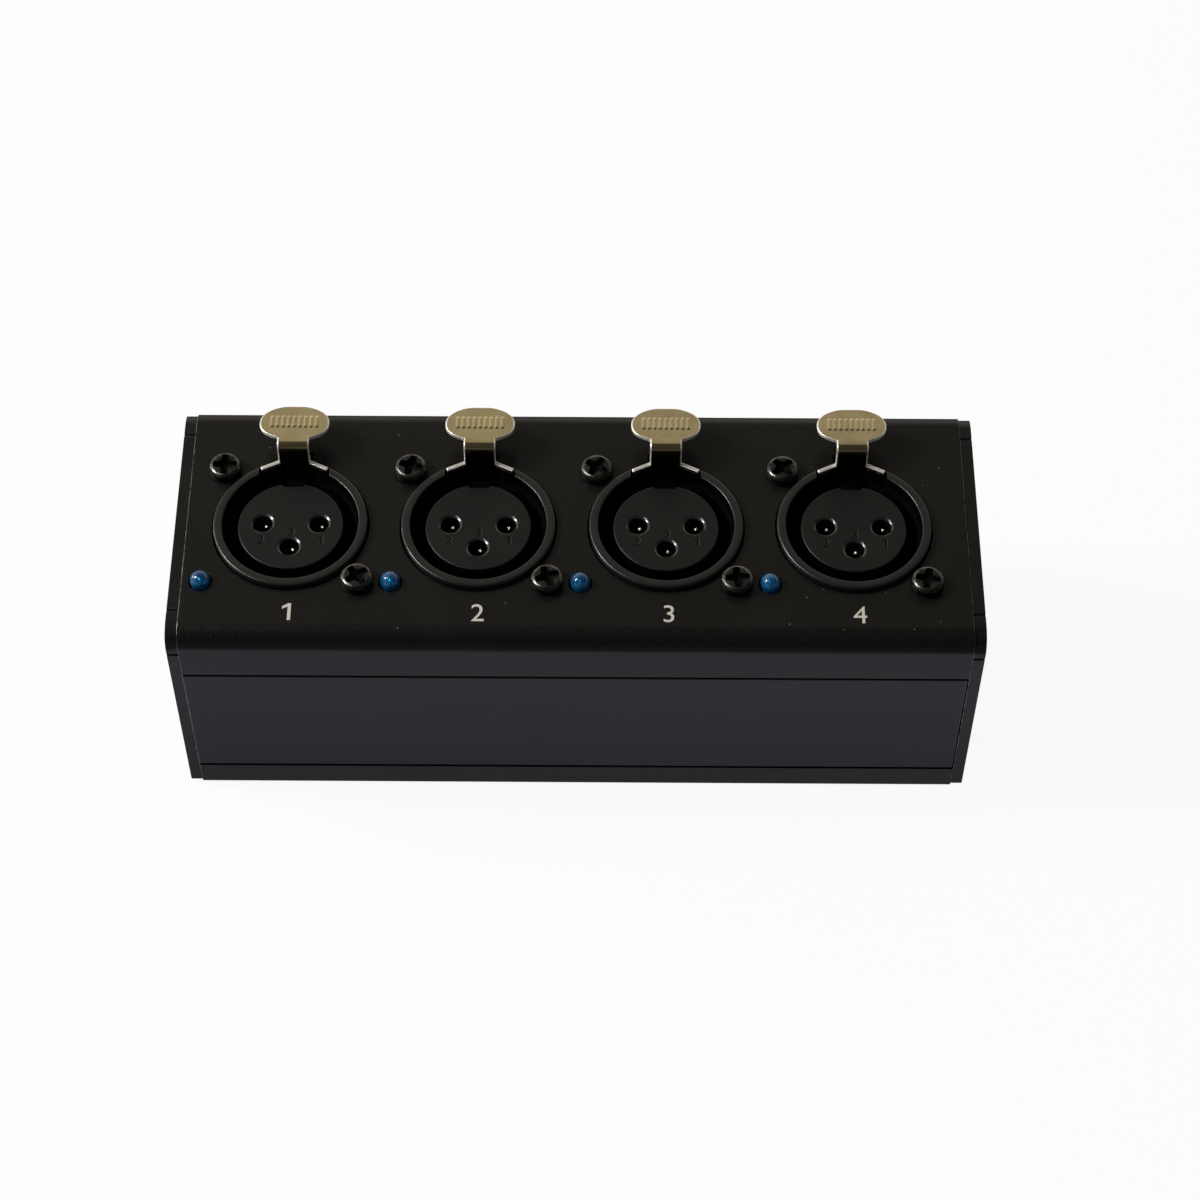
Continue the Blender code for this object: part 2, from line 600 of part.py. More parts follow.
def shell_mesh():
    rim = HEIGHT + COLLAR_RISE
    flange_low = SHELL_TOP - FLANGE_THICKNESS
    flange_middle = SHELL_TOP - FLANGE_THICKNESS / 2
    body = turned(((0.0, SHELL_LOW), (SHELL_R, SHELL_LOW), (SHELL_R, flange_middle),
                   (COLLAR_R, flange_middle), (COLLAR_R, rim - COLLAR_EDGE),
                   (COLLAR_R - COLLAR_EDGE, rim), (PLUG_BORE_R + MOUTH_CHAMFER, rim),
                   (PLUG_BORE_R, rim - MOUTH_CHAMFER), (PLUG_BORE_R, SHELL_FLOOR_TOP),
                   (0.0, SHELL_FLOOR_TOP)), LARGE_SIDE_COUNT)
    flange = prism(flange_outline(), flange_low, SHELL_TOP)
    plug_space = cylinder(PLUG_BORE_R, flange_low - WALL, SHELL_TOP + WALL, LARGE_SIDE_COUNT)
    block_half = POCKET_HALF + CHEEK
    inside = sqrt(SHELL_R ** 2 - block_half ** 2) - SEAT_GAP
    block = box((-block_half, inside, POCKET_LOW - POCKET_FLOOR),
                (block_half, SOCKET_BACK, flange_middle))
    pocket_front = PLUG_BORE_R - COLLAR_WALL
    pocket = box((-POCKET_HALF, pocket_front, POCKET_LOW), (POCKET_HALF, POCKET_BACK, rim + WALL))
    ring_gap = box((-WING_REACH - WING_CLEAR, pocket_front, SHELL_TOP),
                   (WING_REACH + WING_CLEAR, SOCKET_BACK + WALL, rim + WALL))
    drilled = []
    for x, y in screw_places():
        drilled.append(cylinder(SOCKET_SCREW_R + SEAT_GAP, flange_low - WALL, SHELL_TOP + WALL,
                                PIN_SIDE_COUNT, "Z", (x, y, 0.0)))
    for x, y in CONTACT_PLACES:
        drilled.append(cylinder(TAIL_HOLE_R, SHELL_LOW - WALL, SHELL_FLOOR_TOP + WALL,
                                PIN_SIDE_COUNT, "Z", (x, y, 0.0)))
    hinge = cylinder(STUB_R + RUNNING_GAP, -STUB_HALF - SEAT_GAP, STUB_HALF + SEAT_GAP,
                     SMALL_SIDE_COUNT, "X", (0.0, TONGUE_Y, PIVOT_Z))
    return carved("socket_shell", body, [
        ("UNION", flange), ("UNION", block), ("DIFFERENCE", plug_space),
        ("DIFFERENCE", pocket), ("DIFFERENCE", ring_gap), ("DIFFERENCE", merged(drilled)),
        ("DIFFERENCE", hinge)])


def insert_mesh():
    top = HEIGHT + INSERT_RISE
    low = INSERT_LOW
    base = turned(((0.0, low), (INSERT_R, low), (INSERT_R, top - INSERT_EDGE),
                   (INSERT_R - INSERT_EDGE, top), (0.0, top)), MEDIUM_SIDE_COUNT)
    keyway = box((-KEYWAY_WIDTH / 2, INSERT_R - KEYWAY_DEPTH, low - WALL),
                 (KEYWAY_WIDTH / 2, INSERT_R + WALL, top + WALL))
    wide = CONTACT_TUBE_R + SEAT_GAP
    holes = []
    for x, y in CONTACT_PLACES:
        holes.append(turned(((0.0, low - WALL), (wide, low - WALL), (wide, top - CONTACT_LIP),
                             (CONTACT_MOUTH_R, top - CONTACT_LIP),
                             (CONTACT_MOUTH_R, top - CONTACT_CHAMFER),
                             (CONTACT_MOUTH_R + 2 * CONTACT_CHAMFER, top + CONTACT_CHAMFER),
                             (0.0, top + CONTACT_CHAMFER)), SMALL_SIDE_COUNT, "Z", (x, y, 0.0)))
    return carved("contact_insert", base, [("DIFFERENCE", keyway), ("DIFFERENCE", merged(holes))])


def contact_mesh():
    """One sprung contact: tube open at the top, solid base and a tail trimmed flush under the board."""
    inner = CONTACT_TUBE_R - CONTACT_TUBE_WALL
    top = HEIGHT + INSERT_RISE - CONTACT_LIP - SEAT_GAP
    base = top - CONTACT_TUBE_LENGTH
    profile = ((0.0, BOARD_LOW), (CONTACT_TAIL_R, BOARD_LOW), (CONTACT_TAIL_R, base),
               (CONTACT_TUBE_R, base),
               (CONTACT_TUBE_R, top), (inner, top), (inner, base + CONTACT_BASE),
               (0.0, base + CONTACT_BASE))
    return mesh_from("socket_contact", turned(profile, PIN_SIDE_COUNT))


def pad_outline():
    """Rounded pad seen from above, narrowed to the tongue's width at the bend."""
    half = PAD_WIDTH / 2
    depth = PAD_LENGTH / 2
    middle = TONGUE_BACK + depth
    power = 2.0 / PAD_SQUARENESS
    points = []
    for k in range(PAD_POINT_COUNT):
        angle = 2 * pi * (k + 0.5) / PAD_POINT_COUNT
        x = half * copysign(abs(cos(angle)) ** power, cos(angle))
        y = middle + depth * copysign(abs(sin(angle)) ** power, sin(angle))
        points.append((x, y))
    return points


def lever_mesh():
    """Release lever about its hinge: knuckle, upright sheet, hook, wings and pad."""
    half = TONGUE_WIDTH / 2
    front = TONGUE_FRONT - TONGUE_Y
    back = TONGUE_BACK - TONGUE_Y
    pad_top = HEIGHT + PAD_RISE - PIVOT_Z
    pad_low = pad_top - SHEET
    bend = [(front, 0.0)]
    outer_r = LEVER_BEND_R + SHEET
    bend += arc(front + outer_r, pad_top - outer_r, outer_r, pi, pi / 2, LEVER_STEP_COUNT)
    bend += [(front + outer_r + PAD_OVERLAP, pad_top), (front + outer_r + PAD_OVERLAP, pad_low)]
    bend += arc(back + LEVER_BEND_R, pad_low - LEVER_BEND_R, LEVER_BEND_R, pi / 2, pi, LEVER_STEP_COUNT)
    bend += [(back, 0.0)]
    upright = prism(bend, -half, half, "X")
    pad = prism([(x, y - TONGUE_Y) for x, y in pad_outline()], -SHEET / 2, SHEET / 2)
    root_y = back + LEVER_BEND_R
    tilt = Matrix.Rotation(-PAD_TILT, 4, "X")
    bmesh.ops.translate(pad, verts=pad.verts, vec=(0.0, -root_y, 0.0))
    moved(pad, 0.0, root_y, pad_top - SHEET / 2, tilt)
    knuckle = turned(((0.0, -STUB_HALF), (STUB_R, -STUB_HALF), (STUB_R, -half), (KNUCKLE_R, -half),
                      (KNUCKLE_R, half), (STUB_R, half), (STUB_R, STUB_HALF), (0.0, STUB_HALF)),
                     SMALL_SIDE_COUNT, "X")
    middle = HEIGHT - HOOK_DEPTH - PIVOT_Z
    tip = PLUG_BORE_R - HOOK_REACH - TONGUE_Y
    hook = prism([(front + SHEET / 2, middle - HOOK_HEIGHT / 2), (tip, middle - HOOK_HEIGHT / 2),
                  (tip, middle - HOOK_HEIGHT / 4), (front + SHEET / 2, middle + HOOK_HEIGHT / 2)],
                 -HOOK_WIDTH / 2, HOOK_WIDTH / 2, "X")
    wing_top = HEIGHT + WING_RISE - PIVOT_Z
    wing_low = HEIGHT + SEAT_GAP - PIVOT_Z
    steps = [("UNION", knuckle), ("UNION", hook), ("UNION", pad)]
    for side in (-1, 1):
        wing = box((-SHEET, -SHEET / 2, wing_low), (WING_LENGTH, SHEET / 2, wing_top))
        turn = Matrix.Rotation(-WING_ANGLE, 4, "Z")
        moved(wing, half - SHEET * sin(WING_ANGLE) / 2, 0.0, 0.0, turn)
        if side < 0:
            bmesh.ops.scale(wing, vec=(-1.0, 1.0, 1.0), verts=wing.verts)
            bmesh.ops.recalc_face_normals(wing, faces=wing.faces)
        steps.append(("UNION", wing))
    return carved("latch", upright, steps)


def spring_mesh():
    """Outer form of the small coil between the lever and the pocket's back wall."""
    low = TONGUE_BACK + SEAT_GAP
    high = POCKET_BACK - SEAT_GAP
    shape = turned(((SPRING_BORE_R, low), (SPRING_R, low), (SPRING_R, high),
                    (SPRING_BORE_R, high)), PIN_SIDE_COUNT, "Y",
                   (0.0, 0.0, PIVOT_Z + SPRING_HEIGHT))
    return mesh_from("latch_spring", shape)


def pan_screw_mesh():
    """Pan-head screw with a cross recess, standing on its head's underside at height 0."""
    head = turned(((0.0, -SOCKET_SCREW_LENGTH), (SOCKET_SCREW_R, -SOCKET_SCREW_LENGTH),
                   (SOCKET_SCREW_R, 0.0), (PAN_R, 0.0), (PAN_R, PAN_HEIGHT - PAN_EDGE),
                   (PAN_R - PAN_EDGE * (1 - cos(pi / 4)), PAN_HEIGHT - PAN_EDGE * (1 - sin(pi / 4))),
                   (PAN_R - PAN_EDGE, PAN_HEIGHT), (0.0, PAN_HEIGHT)), SMALL_SIDE_COUNT)
    return carved("socket_screw", head, cross_recess(PAN_HEIGHT))


def lamp_mesh():
    """Domed lamp with a foot ring and its two leads."""
    top = HEIGHT + LAMP_RISE
    foot = HEIGHT - LAMP_FOOT_DEPTH
    shoulder = foot + LAMP_FLANGE_HEIGHT
    profile = [(0.0, foot), (LAMP_R + LAMP_FLANGE, foot), (LAMP_R + LAMP_FLANGE, shoulder),
               (LAMP_R, shoulder)]
    profile += arc(0.0, top - LAMP_R, LAMP_R, 0.0, pi / 2, FOOT_STEP_COUNT)[:-1]
    profile.append((0.0, top))
    leads = [("UNION", cylinder(LEAD_R, BOARD_LOW, foot + LAMP_FLANGE, PIN_SIDE_COUNT, "Z",
                                (side * LEAD_SPACING / 2, 0.0, 0.0))) for side in (-1, 1)]
    return carved("status_led", turned(profile, SMALL_SIDE_COUNT), leads)


def make_sockets():
    plastic = material("black glass-filled nylon", (0.012, 0.012, 0.013), 0.5, 0.0)
    inner = material("dark grey thermoplastic", (0.020, 0.020, 0.021), 0.55, 0.0)
    silver = material("silvered contact brass", (0.75, 0.72, 0.65), 0.3, 1.0)
    nickel = material("nickel-plated sheet steel", (0.45, 0.42, 0.36), 0.3, 1.0)
    wire = material("spring steel", (0.4, 0.4, 0.4), 0.35, 1.0)
    black = material("black oxide screw", (0.02, 0.02, 0.02), 0.35, 0.8)
    blue = material("blue lamp resin", (0.0, 0.05, 0.25), 0.15, 0.0)
    shell = shell_mesh()
    insert = insert_mesh()
    contact = contact_mesh()
    lever = lever_mesh()
    spring = spring_mesh()
    lamp = lamp_mesh()
    screw = pan_screw_mesh()
    for i, (x, y) in enumerate(socket_places()):
        number = str(i + 1)
        node("socket_shell_" + number, shell, plastic, (x, y, 0.0))
        node("contact_insert_" + number, insert, inner, (x, y, 0.0))
        node("latch_" + number, lever, nickel, (x, y + TONGUE_Y, PIVOT_Z))
        node("latch_spring_" + number, spring, wire, (x, y, 0.0))
        node("status_led_" + number, lamp, blue, (x + LAMP_X, y + LAMP_Y, 0.0))
        for k, (cx, cy) in enumerate(CONTACT_PLACES):
            node("socket_contact_%s_%d" % (number, k + 1), contact, silver, (x + cx, y + cy, 0.0))
        for k, (sx, sy) in enumerate(screw_places()):
            node("socket_screw_%s_%d" % (number, k + 1), screw, black, (x + sx, y + sy, HEIGHT + SEAT_GAP),
                 (0.0, 0.0, RECESS_TURN_STEP * (2 * i + k)))


def lead_places():
    places = []
    for x, y in socket_places():
        for side in (-1, 1):
            places.append((x + LAMP_X + side * LEAD_SPACING / 2, y + LAMP_Y))
    return places


# Circuit board and what it carries

def make_board():
    resin = material("green solder mask", (0.01, 0.09, 0.03), 0.35, 0.0)
    front = COVER_BACK + SEAT_GAP - HALF_DEPTH
    back = HALF_DEPTH - WALL - SEAT_GAP
    half = HALF_PROFILE - SEAT_GAP
    base = box((-half, front, BOARD_LOW), (half, back, BOARD_TOP))
    drilled = []
    for x, y in socket_places():
        for cx, cy in CONTACT_PLACES:
            drilled.append(cylinder(TAIL_HOLE_R, BOARD_LOW - WALL, BOARD_TOP + WALL, PIN_SIDE_COUNT, "Z",
                                    (x + cx, y + cy, 0.0)))
    for x, y in lead_places():
        drilled.append(cylinder(LEAD_HOLE_R, BOARD_LOW - WALL, BOARD_TOP + WALL, PIN_SIDE_COUNT, "Z",
                                (x, y, 0.0)))
    node("main_board", carved("main_board", base, [("DIFFERENCE", merged(drilled))]), resin)


def make_network_jack():
    tinned = material("tinned jack shield", (0.55, 0.55, 0.53), 0.35, 1.0)
    moulding = material("black jack moulding", (0.015, 0.015, 0.015), 0.5, 0.0)
    gold = material("gold-plated wire", (0.9, 0.6, 0.2), 0.25, 1.0)
    half = JACK_WIDTH / 2
    low = JACK_TOP - JACK_HEIGHT
    back = FACE_X - JACK_LENGTH
    hollow = box((back + JACK_SHEET, JACK_Y - half + JACK_SHEET, low + JACK_SHEET),
                 (FACE_X + WALL, JACK_Y + half - JACK_SHEET, JACK_TOP - JACK_SHEET))
    shield = carved("ethernet_shield", box((back, JACK_Y - half, low), (FACE_X, JACK_Y + half, JACK_TOP)),
                    [("DIFFERENCE", hollow)])
    node("ethernet_shield", shield, tinned)
    inset = JACK_SHEET + SEAT_GAP
    body_top = JACK_TOP - inset
    port_top = body_top - PORT_ROOF
    port_low = port_top - PORT_HEIGHT
    port_back = FACE_X - PORT_DEPTH
    slot_half = PORT_SLOT_WIDTH / 2
    body = carved("ethernet_body", box((back + inset, JACK_Y - half + inset, low + inset),
                                       (FACE_X - SEAT_GAP, JACK_Y + half - inset, body_top)),
                  [("DIFFERENCE", box((port_back, JACK_Y - PORT_WIDTH / 2, port_low),
                                      (FACE_X + WALL, JACK_Y + PORT_WIDTH / 2, port_top))),
                   ("DIFFERENCE", box((port_back, JACK_Y - slot_half, port_low - PORT_SLOT_HEIGHT),
                                      (FACE_X + WALL, JACK_Y + slot_half, port_low + SEAT_GAP)))])
    node("ethernet_body", body, moulding)
    top = port_top - SEAT_GAP
    comb_back = port_back + SEAT_GAP
    half_comb = (WIRE_COUNT - 1) / 2 * WIRE_PITCH + WIRE_SIDE
    comb = box((comb_back, JACK_Y - half_comb, top - WIRE_DROP - WIRE_SIDE),
               (comb_back + COMB_LENGTH, JACK_Y + half_comb, top))
    wires = []
    for k in range(WIRE_COUNT):
        y = JACK_Y + (k - (WIRE_COUNT - 1) / 2) * WIRE_PITCH
        start = comb_back + COMB_LENGTH / 2
        wires.append(prism([(start, top - WIRE_DROP), (start, top - WIRE_DROP + WIRE_SIDE),
                            (comb_back + WIRE_LENGTH, top - WIRE_SIDE / 4),
                            (comb_back + WIRE_LENGTH, top - WIRE_SIDE)],
                           y - WIRE_SIDE / 2, y + WIRE_SIDE / 2, "Y"))
    contacts = carved("ethernet_contacts", comb, [("UNION", merged(wires))])
    node("ethernet_contacts", contacts, gold)


def make_supply_jack():
    moulding = material("black supply jack moulding", (0.012, 0.012, 0.012), 0.45, 0.0)
    nickel = material("nickel supply pin", (0.6, 0.58, 0.52), 0.25, 1.0)
    half = SUPPLY_WIDTH / 2
    middle = JACK_TOP - SUPPLY_HEIGHT / 2
    block_front = PLATE_INNER - SEAT_GAP
    block = box((block_front - SUPPLY_LENGTH, SUPPLY_Y - half, JACK_TOP - SUPPLY_HEIGHT),
                (block_front, SUPPLY_Y + half, JACK_TOP))
    barrel = cylinder(SUPPLY_BARREL_R, block_front - WALL, FACE_X, MEDIUM_SIDE_COUNT, "X",
                      (0.0, SUPPLY_Y, middle))
    bore = cylinder(SUPPLY_BORE_R, FACE_X - SUPPLY_BORE_DEPTH, FACE_X + WALL, MEDIUM_SIDE_COUNT, "X",
                    (0.0, SUPPLY_Y, middle))
    body = carved("dc_jack_body", block, [("UNION", barrel), ("DIFFERENCE", bore)])
    node("dc_jack_body", body, moulding)
    pin_low = FACE_X - SUPPLY_BORE_DEPTH + SEAT_GAP
    pin = turned(((0.0, pin_low), (SUPPLY_PIN_R, pin_low),
                  (SUPPLY_PIN_R, pin_low + SUPPLY_PIN_LENGTH - SUPPLY_PIN_R / 2),
                  (SUPPLY_PIN_R / 2, pin_low + SUPPLY_PIN_LENGTH),
                  (0.0, pin_low + SUPPLY_PIN_LENGTH)), SMALL_SIDE_COUNT, "X", (0.0, SUPPLY_Y, middle))
    node("dc_jack_pin", mesh_from("dc_jack_pin", pin), nickel)


def package(width, depth, height, x, y):
    """Moulded part hanging under the board, its free edges chamfered."""
    top = BOARD_LOW - SEAT_GAP
    shape = box((x - width / 2, y - depth / 2, top - height), (x + width / 2, y + depth / 2, top))
    free = [edge for edge in shape.edges if all(vert.co.z < top - height / 2 for vert in edge.verts)]
    bmesh.ops.bevel(shape, geom=free, offset=CHIP_EDGE, segments=1, affect="EDGES")
    return shape


def make_chips():
    mould = material("black chip moulding", (0.02, 0.02, 0.02), 0.6, 0.0)
    places = socket_places()
    # a chip hangs midway between two sockets, clear of their tails and leads
    for name, size, gap in (("controller_chip", CONTROLLER, 1), ("line_driver_chip", LINE_DRIVER, 0)):
        x = (places[gap][0] + places[gap + 1][0]) / 2
        node(name, mesh_from(name, package(*size, x, CHIP_Y)), mould)


def build():
    clear_scene()
    make_body()
    make_cover()
    make_end_plate("end_plate_left", -1, False)
    make_end_plate("end_plate_right", 1, True)
    make_end_screws()
    make_sockets()
    make_board()
    make_network_jack()
    make_supply_jack()
    make_chips()


build()
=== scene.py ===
from math import acos, atan2, cos, pi, radians, sin, tan

import bmesh
import bpy
import numpy as np
from mathutils import Matrix, Vector


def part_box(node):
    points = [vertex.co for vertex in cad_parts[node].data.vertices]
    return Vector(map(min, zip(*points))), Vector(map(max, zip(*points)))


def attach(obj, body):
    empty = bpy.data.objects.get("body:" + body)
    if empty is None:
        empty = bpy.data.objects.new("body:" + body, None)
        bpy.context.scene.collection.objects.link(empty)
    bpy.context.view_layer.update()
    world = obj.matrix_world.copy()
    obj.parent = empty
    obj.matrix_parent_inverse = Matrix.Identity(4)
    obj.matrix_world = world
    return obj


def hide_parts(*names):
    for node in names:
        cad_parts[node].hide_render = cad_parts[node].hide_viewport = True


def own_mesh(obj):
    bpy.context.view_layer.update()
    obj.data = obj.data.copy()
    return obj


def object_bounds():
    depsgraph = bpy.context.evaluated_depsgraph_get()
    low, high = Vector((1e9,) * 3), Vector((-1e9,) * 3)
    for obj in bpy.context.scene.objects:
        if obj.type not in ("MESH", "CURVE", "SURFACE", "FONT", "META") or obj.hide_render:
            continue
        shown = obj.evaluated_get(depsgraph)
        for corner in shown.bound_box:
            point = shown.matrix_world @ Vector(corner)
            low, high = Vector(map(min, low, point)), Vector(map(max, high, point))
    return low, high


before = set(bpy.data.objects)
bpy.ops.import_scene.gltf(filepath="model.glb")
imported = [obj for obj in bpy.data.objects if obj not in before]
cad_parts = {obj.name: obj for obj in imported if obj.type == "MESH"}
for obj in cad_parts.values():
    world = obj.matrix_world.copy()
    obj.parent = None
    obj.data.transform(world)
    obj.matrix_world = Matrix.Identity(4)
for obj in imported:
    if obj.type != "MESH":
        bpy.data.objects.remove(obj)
solidLow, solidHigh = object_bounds()
mm = 0.001
weldWithin = 0.002 * mm      # points closer than this are one point
sliverWithin = 0.001 * mm    # edges shorter than this collapse
socketCount = 4
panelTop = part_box("body_shell")[1].z
print("frame loaded, panel top at %.1f mm" % (panelTop / mm))


# Colours, nodes and materials

def linearColour(hexText):
    # sRGB hex to linear light: c / 12.92 up to 0.04045, else ((c + 0.055) / 1.055) ^ 2.4
    parts = np.array([int(hexText[i:i + 2], 16) for i in (1, 3, 5)]) / 255.0
    linear = np.where(parts <= 0.04045, parts / 12.92, ((parts + 0.055) / 1.055) ** 2.4)
    return (*linear.tolist(), 1.0)


def perMetre(millimetres):
    # texture scale whose features are this many millimetres apart
    return 1.0 / (millimetres * mm)


def addNode(tree, kind, inputs, **settings):
    # one shader node; an input is a plain value, a hex colour, a node (its first output) or (node, output)
    node = tree.nodes.new("ShaderNode" + kind)
    for name, value in settings.items():
        setattr(node, name, value)
    for key, value in inputs.items():
        source, output = value if isinstance(value, tuple) and len(value) == 2 else (value, 0)
        if isinstance(source, bpy.types.Node):
            tree.links.new(source.outputs[output], node.inputs[key])
        else:
            node.inputs[key].default_value = linearColour(value) if isinstance(value, str) else value
    return node


def startMaterial(name, fixed):
    # Principled shader with the values that are the same all over the surface
    finish = bpy.data.materials.new(name)
    finish.use_nodes = True
    tree = finish.node_tree
    shader = tree.nodes["Principled BSDF"]
    for socket, value in fixed.items():
        shader.inputs[socket].default_value = value
    return finish, tree, shader, (addNode(tree, "TexCoord", {}), "Object")


def twoTone(tree, pattern, low, high, first, second, share=1.0):
    # the first colour where the pattern is low, a share of the second where it is high, and a straight
    # blend between
    blend = addNode(tree, "MapRange", {0: pattern, 1: low, 2: high, 4: share})
    return addNode(tree, "Mix", {0: blend, 6: first, 7: second}, data_type="RGBA"), 2


def finishSurface(tree, shader, colour, pattern, depth, smooth, dull, haze=None, low=0.3, high=0.7):
    # joins colour, relief and roughness to the shader: the pattern raises the surface by a depth in
    # millimetres, and the roughness goes from smooth to dull while the haze, or else the pattern, goes
    # from low to high
    hazed = addNode(tree, "MapRange", {0: haze or pattern, 1: low, 2: high, 3: smooth, 4: dull})
    bump = addNode(tree, "Bump", {"Distance": depth * mm, "Height": pattern})
    tree.links.new(colour[0].outputs[colour[1]], shader.inputs["Base Color"])
    tree.links.new(hazed.outputs[0], shader.inputs["Roughness"])
    tree.links.new(bump.outputs[0], shader.inputs["Normal"])


def blastedAnodised(name, dark, light, cloud, grain, grainColour, grainShare, speckColour, speckSpacing,
                    speckSize, speckShare, rough, gloss, relief):
    # bead-blasted aluminium with a black anodic film: near-black satin with an even fine grain,
    # faint clouds where it was handled, and a few bright specks where a bead left a high spot
    finish, tree, shader, where = startMaterial(name, {"Specular IOR Level": gloss})
    clouds = addNode(tree, "TexNoise", {"Vector": where, "Scale": perMetre(cloud), "Detail": 3.0})
    pits = addNode(tree, "TexNoise", {"Vector": where, "Scale": perMetre(grain), "Detail": 3.0,
                                      "Roughness": 0.7})
    cells = addNode(tree, "TexVoronoi", {"Vector": where, "Scale": perMetre(speckSpacing)})
    near = addNode(tree, "MapRange", {0: cells, 1: speckSize, 2: speckSize * 0.6})
    chance = addNode(tree, "SeparateColor", {0: (cells, 1)})
    chosen = addNode(tree, "Math", {0: chance, 1: speckShare}, operation="LESS_THAN")
    speck = addNode(tree, "Math", {0: near, 1: chosen}, operation="MULTIPLY")
    plain = twoTone(tree, clouds, 0.35, 0.65, dark, light)
    grained = twoTone(tree, pits, 0.42, 0.72, plain, grainColour, grainShare)
    specked = addNode(tree, "Mix", {0: speck, 6: grained, 7: speckColour}, data_type="RGBA")
    finishSurface(tree, shader, (specked, 2), pits, relief, rough - 0.05, rough + 0.07)
    return finish


def wornAnodisedEdge(name, edgeFilm, bareMetal, wearLength, wearFrom):
    # cut or bent edge of the same anodised aluminium, where rubbing leaves bare metal in places
    finish, tree, shader, where = startMaterial(name, {})
    breaks = addNode(tree, "TexNoise", {"Vector": where, "Scale": perMetre(wearLength), "Detail": 3.0,
                                        "Roughness": 0.65})
    bare = addNode(tree, "MapRange", {0: breaks, 1: wearFrom, 2: wearFrom + 0.06})
    tree.links.new(bare.outputs[0], shader.inputs["Metallic"])
    worn = addNode(tree, "Mix", {0: bare, 6: edgeFilm, 7: bareMetal}, data_type="RGBA")
    finishSurface(tree, shader, (worn, 2), breaks, 0.01, 0.32, 0.48)
    return finish


def mouldedPlastic(name, dark, light, cloud, texture, rough, gloss, relief):
    # injection-moulded plastic: the tool's fine spark texture gives a soft sheen, with slight sink clouds
    finish, tree, shader, where = startMaterial(name, {"Specular IOR Level": gloss, "IOR": 1.53})
    clouds = addNode(tree, "TexNoise", {"Vector": where, "Scale": perMetre(cloud)})
    sparks = addNode(tree, "TexNoise", {"Vector": where, "Scale": perMetre(texture), "Detail": 3.0,
                                        "Roughness": 0.6})
    colour = twoTone(tree, clouds, 0.3, 0.7, dark, light)
    finishSurface(tree, shader, colour, sparks, relief, rough - 0.05, rough + 0.08)
    return finish


def platedMetal(name, bright, dull, cloud, lineWidth, rough, relief, stretch=(1.0, 1.0, 1.0), metallic=1.0,
                gloss=0.5):
    # plated sheet or turned metal: a bright thin coat over fine rolling lines and light handling marks;
    # a torn or oxidised surface scatters part of its light, so it isn't all metallic
    finish, tree, shader, where = startMaterial(name, {"Metallic": metallic, "Specular IOR Level": gloss})
    along = addNode(tree, "Mapping", {"Vector": where, "Scale": stretch})
    lines = addNode(tree, "TexNoise", {"Vector": along, "Scale": perMetre(lineWidth), "Detail": 3.0,
                                       "Roughness": 0.6})
    clouds = addNode(tree, "TexNoise", {"Vector": where, "Scale": perMetre(cloud), "Detail": 3.0})
    both = addNode(tree, "Math", {0: lines, 1: clouds}, operation="ADD")
    colour = twoTone(tree, clouds, 0.4, 0.7, bright, dull)
    finishSurface(tree, shader, colour, lines, relief, rough - 0.06, rough + 0.08, both, 0.6, 1.4)
    return finish


def tintedResin(name, deep, pale, clear, cloud):
    # cast blue epoxy: glossy and half clear, with a few scattered clouds inside
    finish, tree, shader, where = startMaterial(name, {
        "IOR": 1.54, "Transmission Weight": clear, "Coat Weight": 0.4, "Coat Roughness": 0.04})
    clouds = addNode(tree, "TexNoise", {"Vector": where, "Scale": perMetre(cloud)})
    finishSurface(tree, shader, twoTone(tree, clouds, 0.3, 0.7, deep, pale), clouds, 0.004, 0.06, 0.12)
    return finish


def printedInk(name, ink, thinInk, patch):
    # screen-printed ink: matte off-white film, a little thin where the grain below shows through
    finish, tree, shader, where = startMaterial(name, {"Specular IOR Level": 0.3})
    thin = addNode(tree, "TexNoise", {"Vector": where, "Scale": perMetre(patch), "Detail": 3.0,
                                      "Roughness": 0.7})
    finishSurface(tree, shader, twoTone(tree, thin, 0.55, 0.75, ink, thinInk), thin, 0.01, 0.55, 0.7)
    return finish


def solderMaskBoard(name, mask, overCopper, trackScale):
    # glass laminate under green solder mask: copper tracks show as lighter, slightly raised bands
    finish, tree, shader, where = startMaterial(name, {})
    tracks = addNode(tree, "TexWave", {"Vector": where, "Scale": perMetre(trackScale), "Distortion": 6.0,
                                       "Detail": 1.0}, wave_type="BANDS", bands_direction="DIAGONAL")
    band = addNode(tree, "MapRange", {0: (tracks, 1), 1: 0.55, 2: 0.6})
    tracked = addNode(tree, "Mix", {0: band, 6: mask, 7: overCopper}, data_type="RGBA")
    finishSurface(tree, shader, (tracked, 2), band, 0.03, 0.3, 0.38, band, 0.0, 1.0)
    return finish


# Shapes worked out as whole arrays

def circle(radius, x, y, count):
    # count points (x + r cos t, y + r sin t), evenly round
    angles = 2 * pi * np.arange(count) / count
    return np.stack([x + radius * np.cos(angles), y + radius * np.sin(angles)], -1)


def arcPoints(centre, radius, start, end, count):
    # points on an arc between two angles in degrees, (a + r cos t, b + r sin t)
    angles = np.radians(np.linspace(start, end, count))
    return np.array(centre) + radius * np.stack([np.cos(angles), np.sin(angles)], -1)


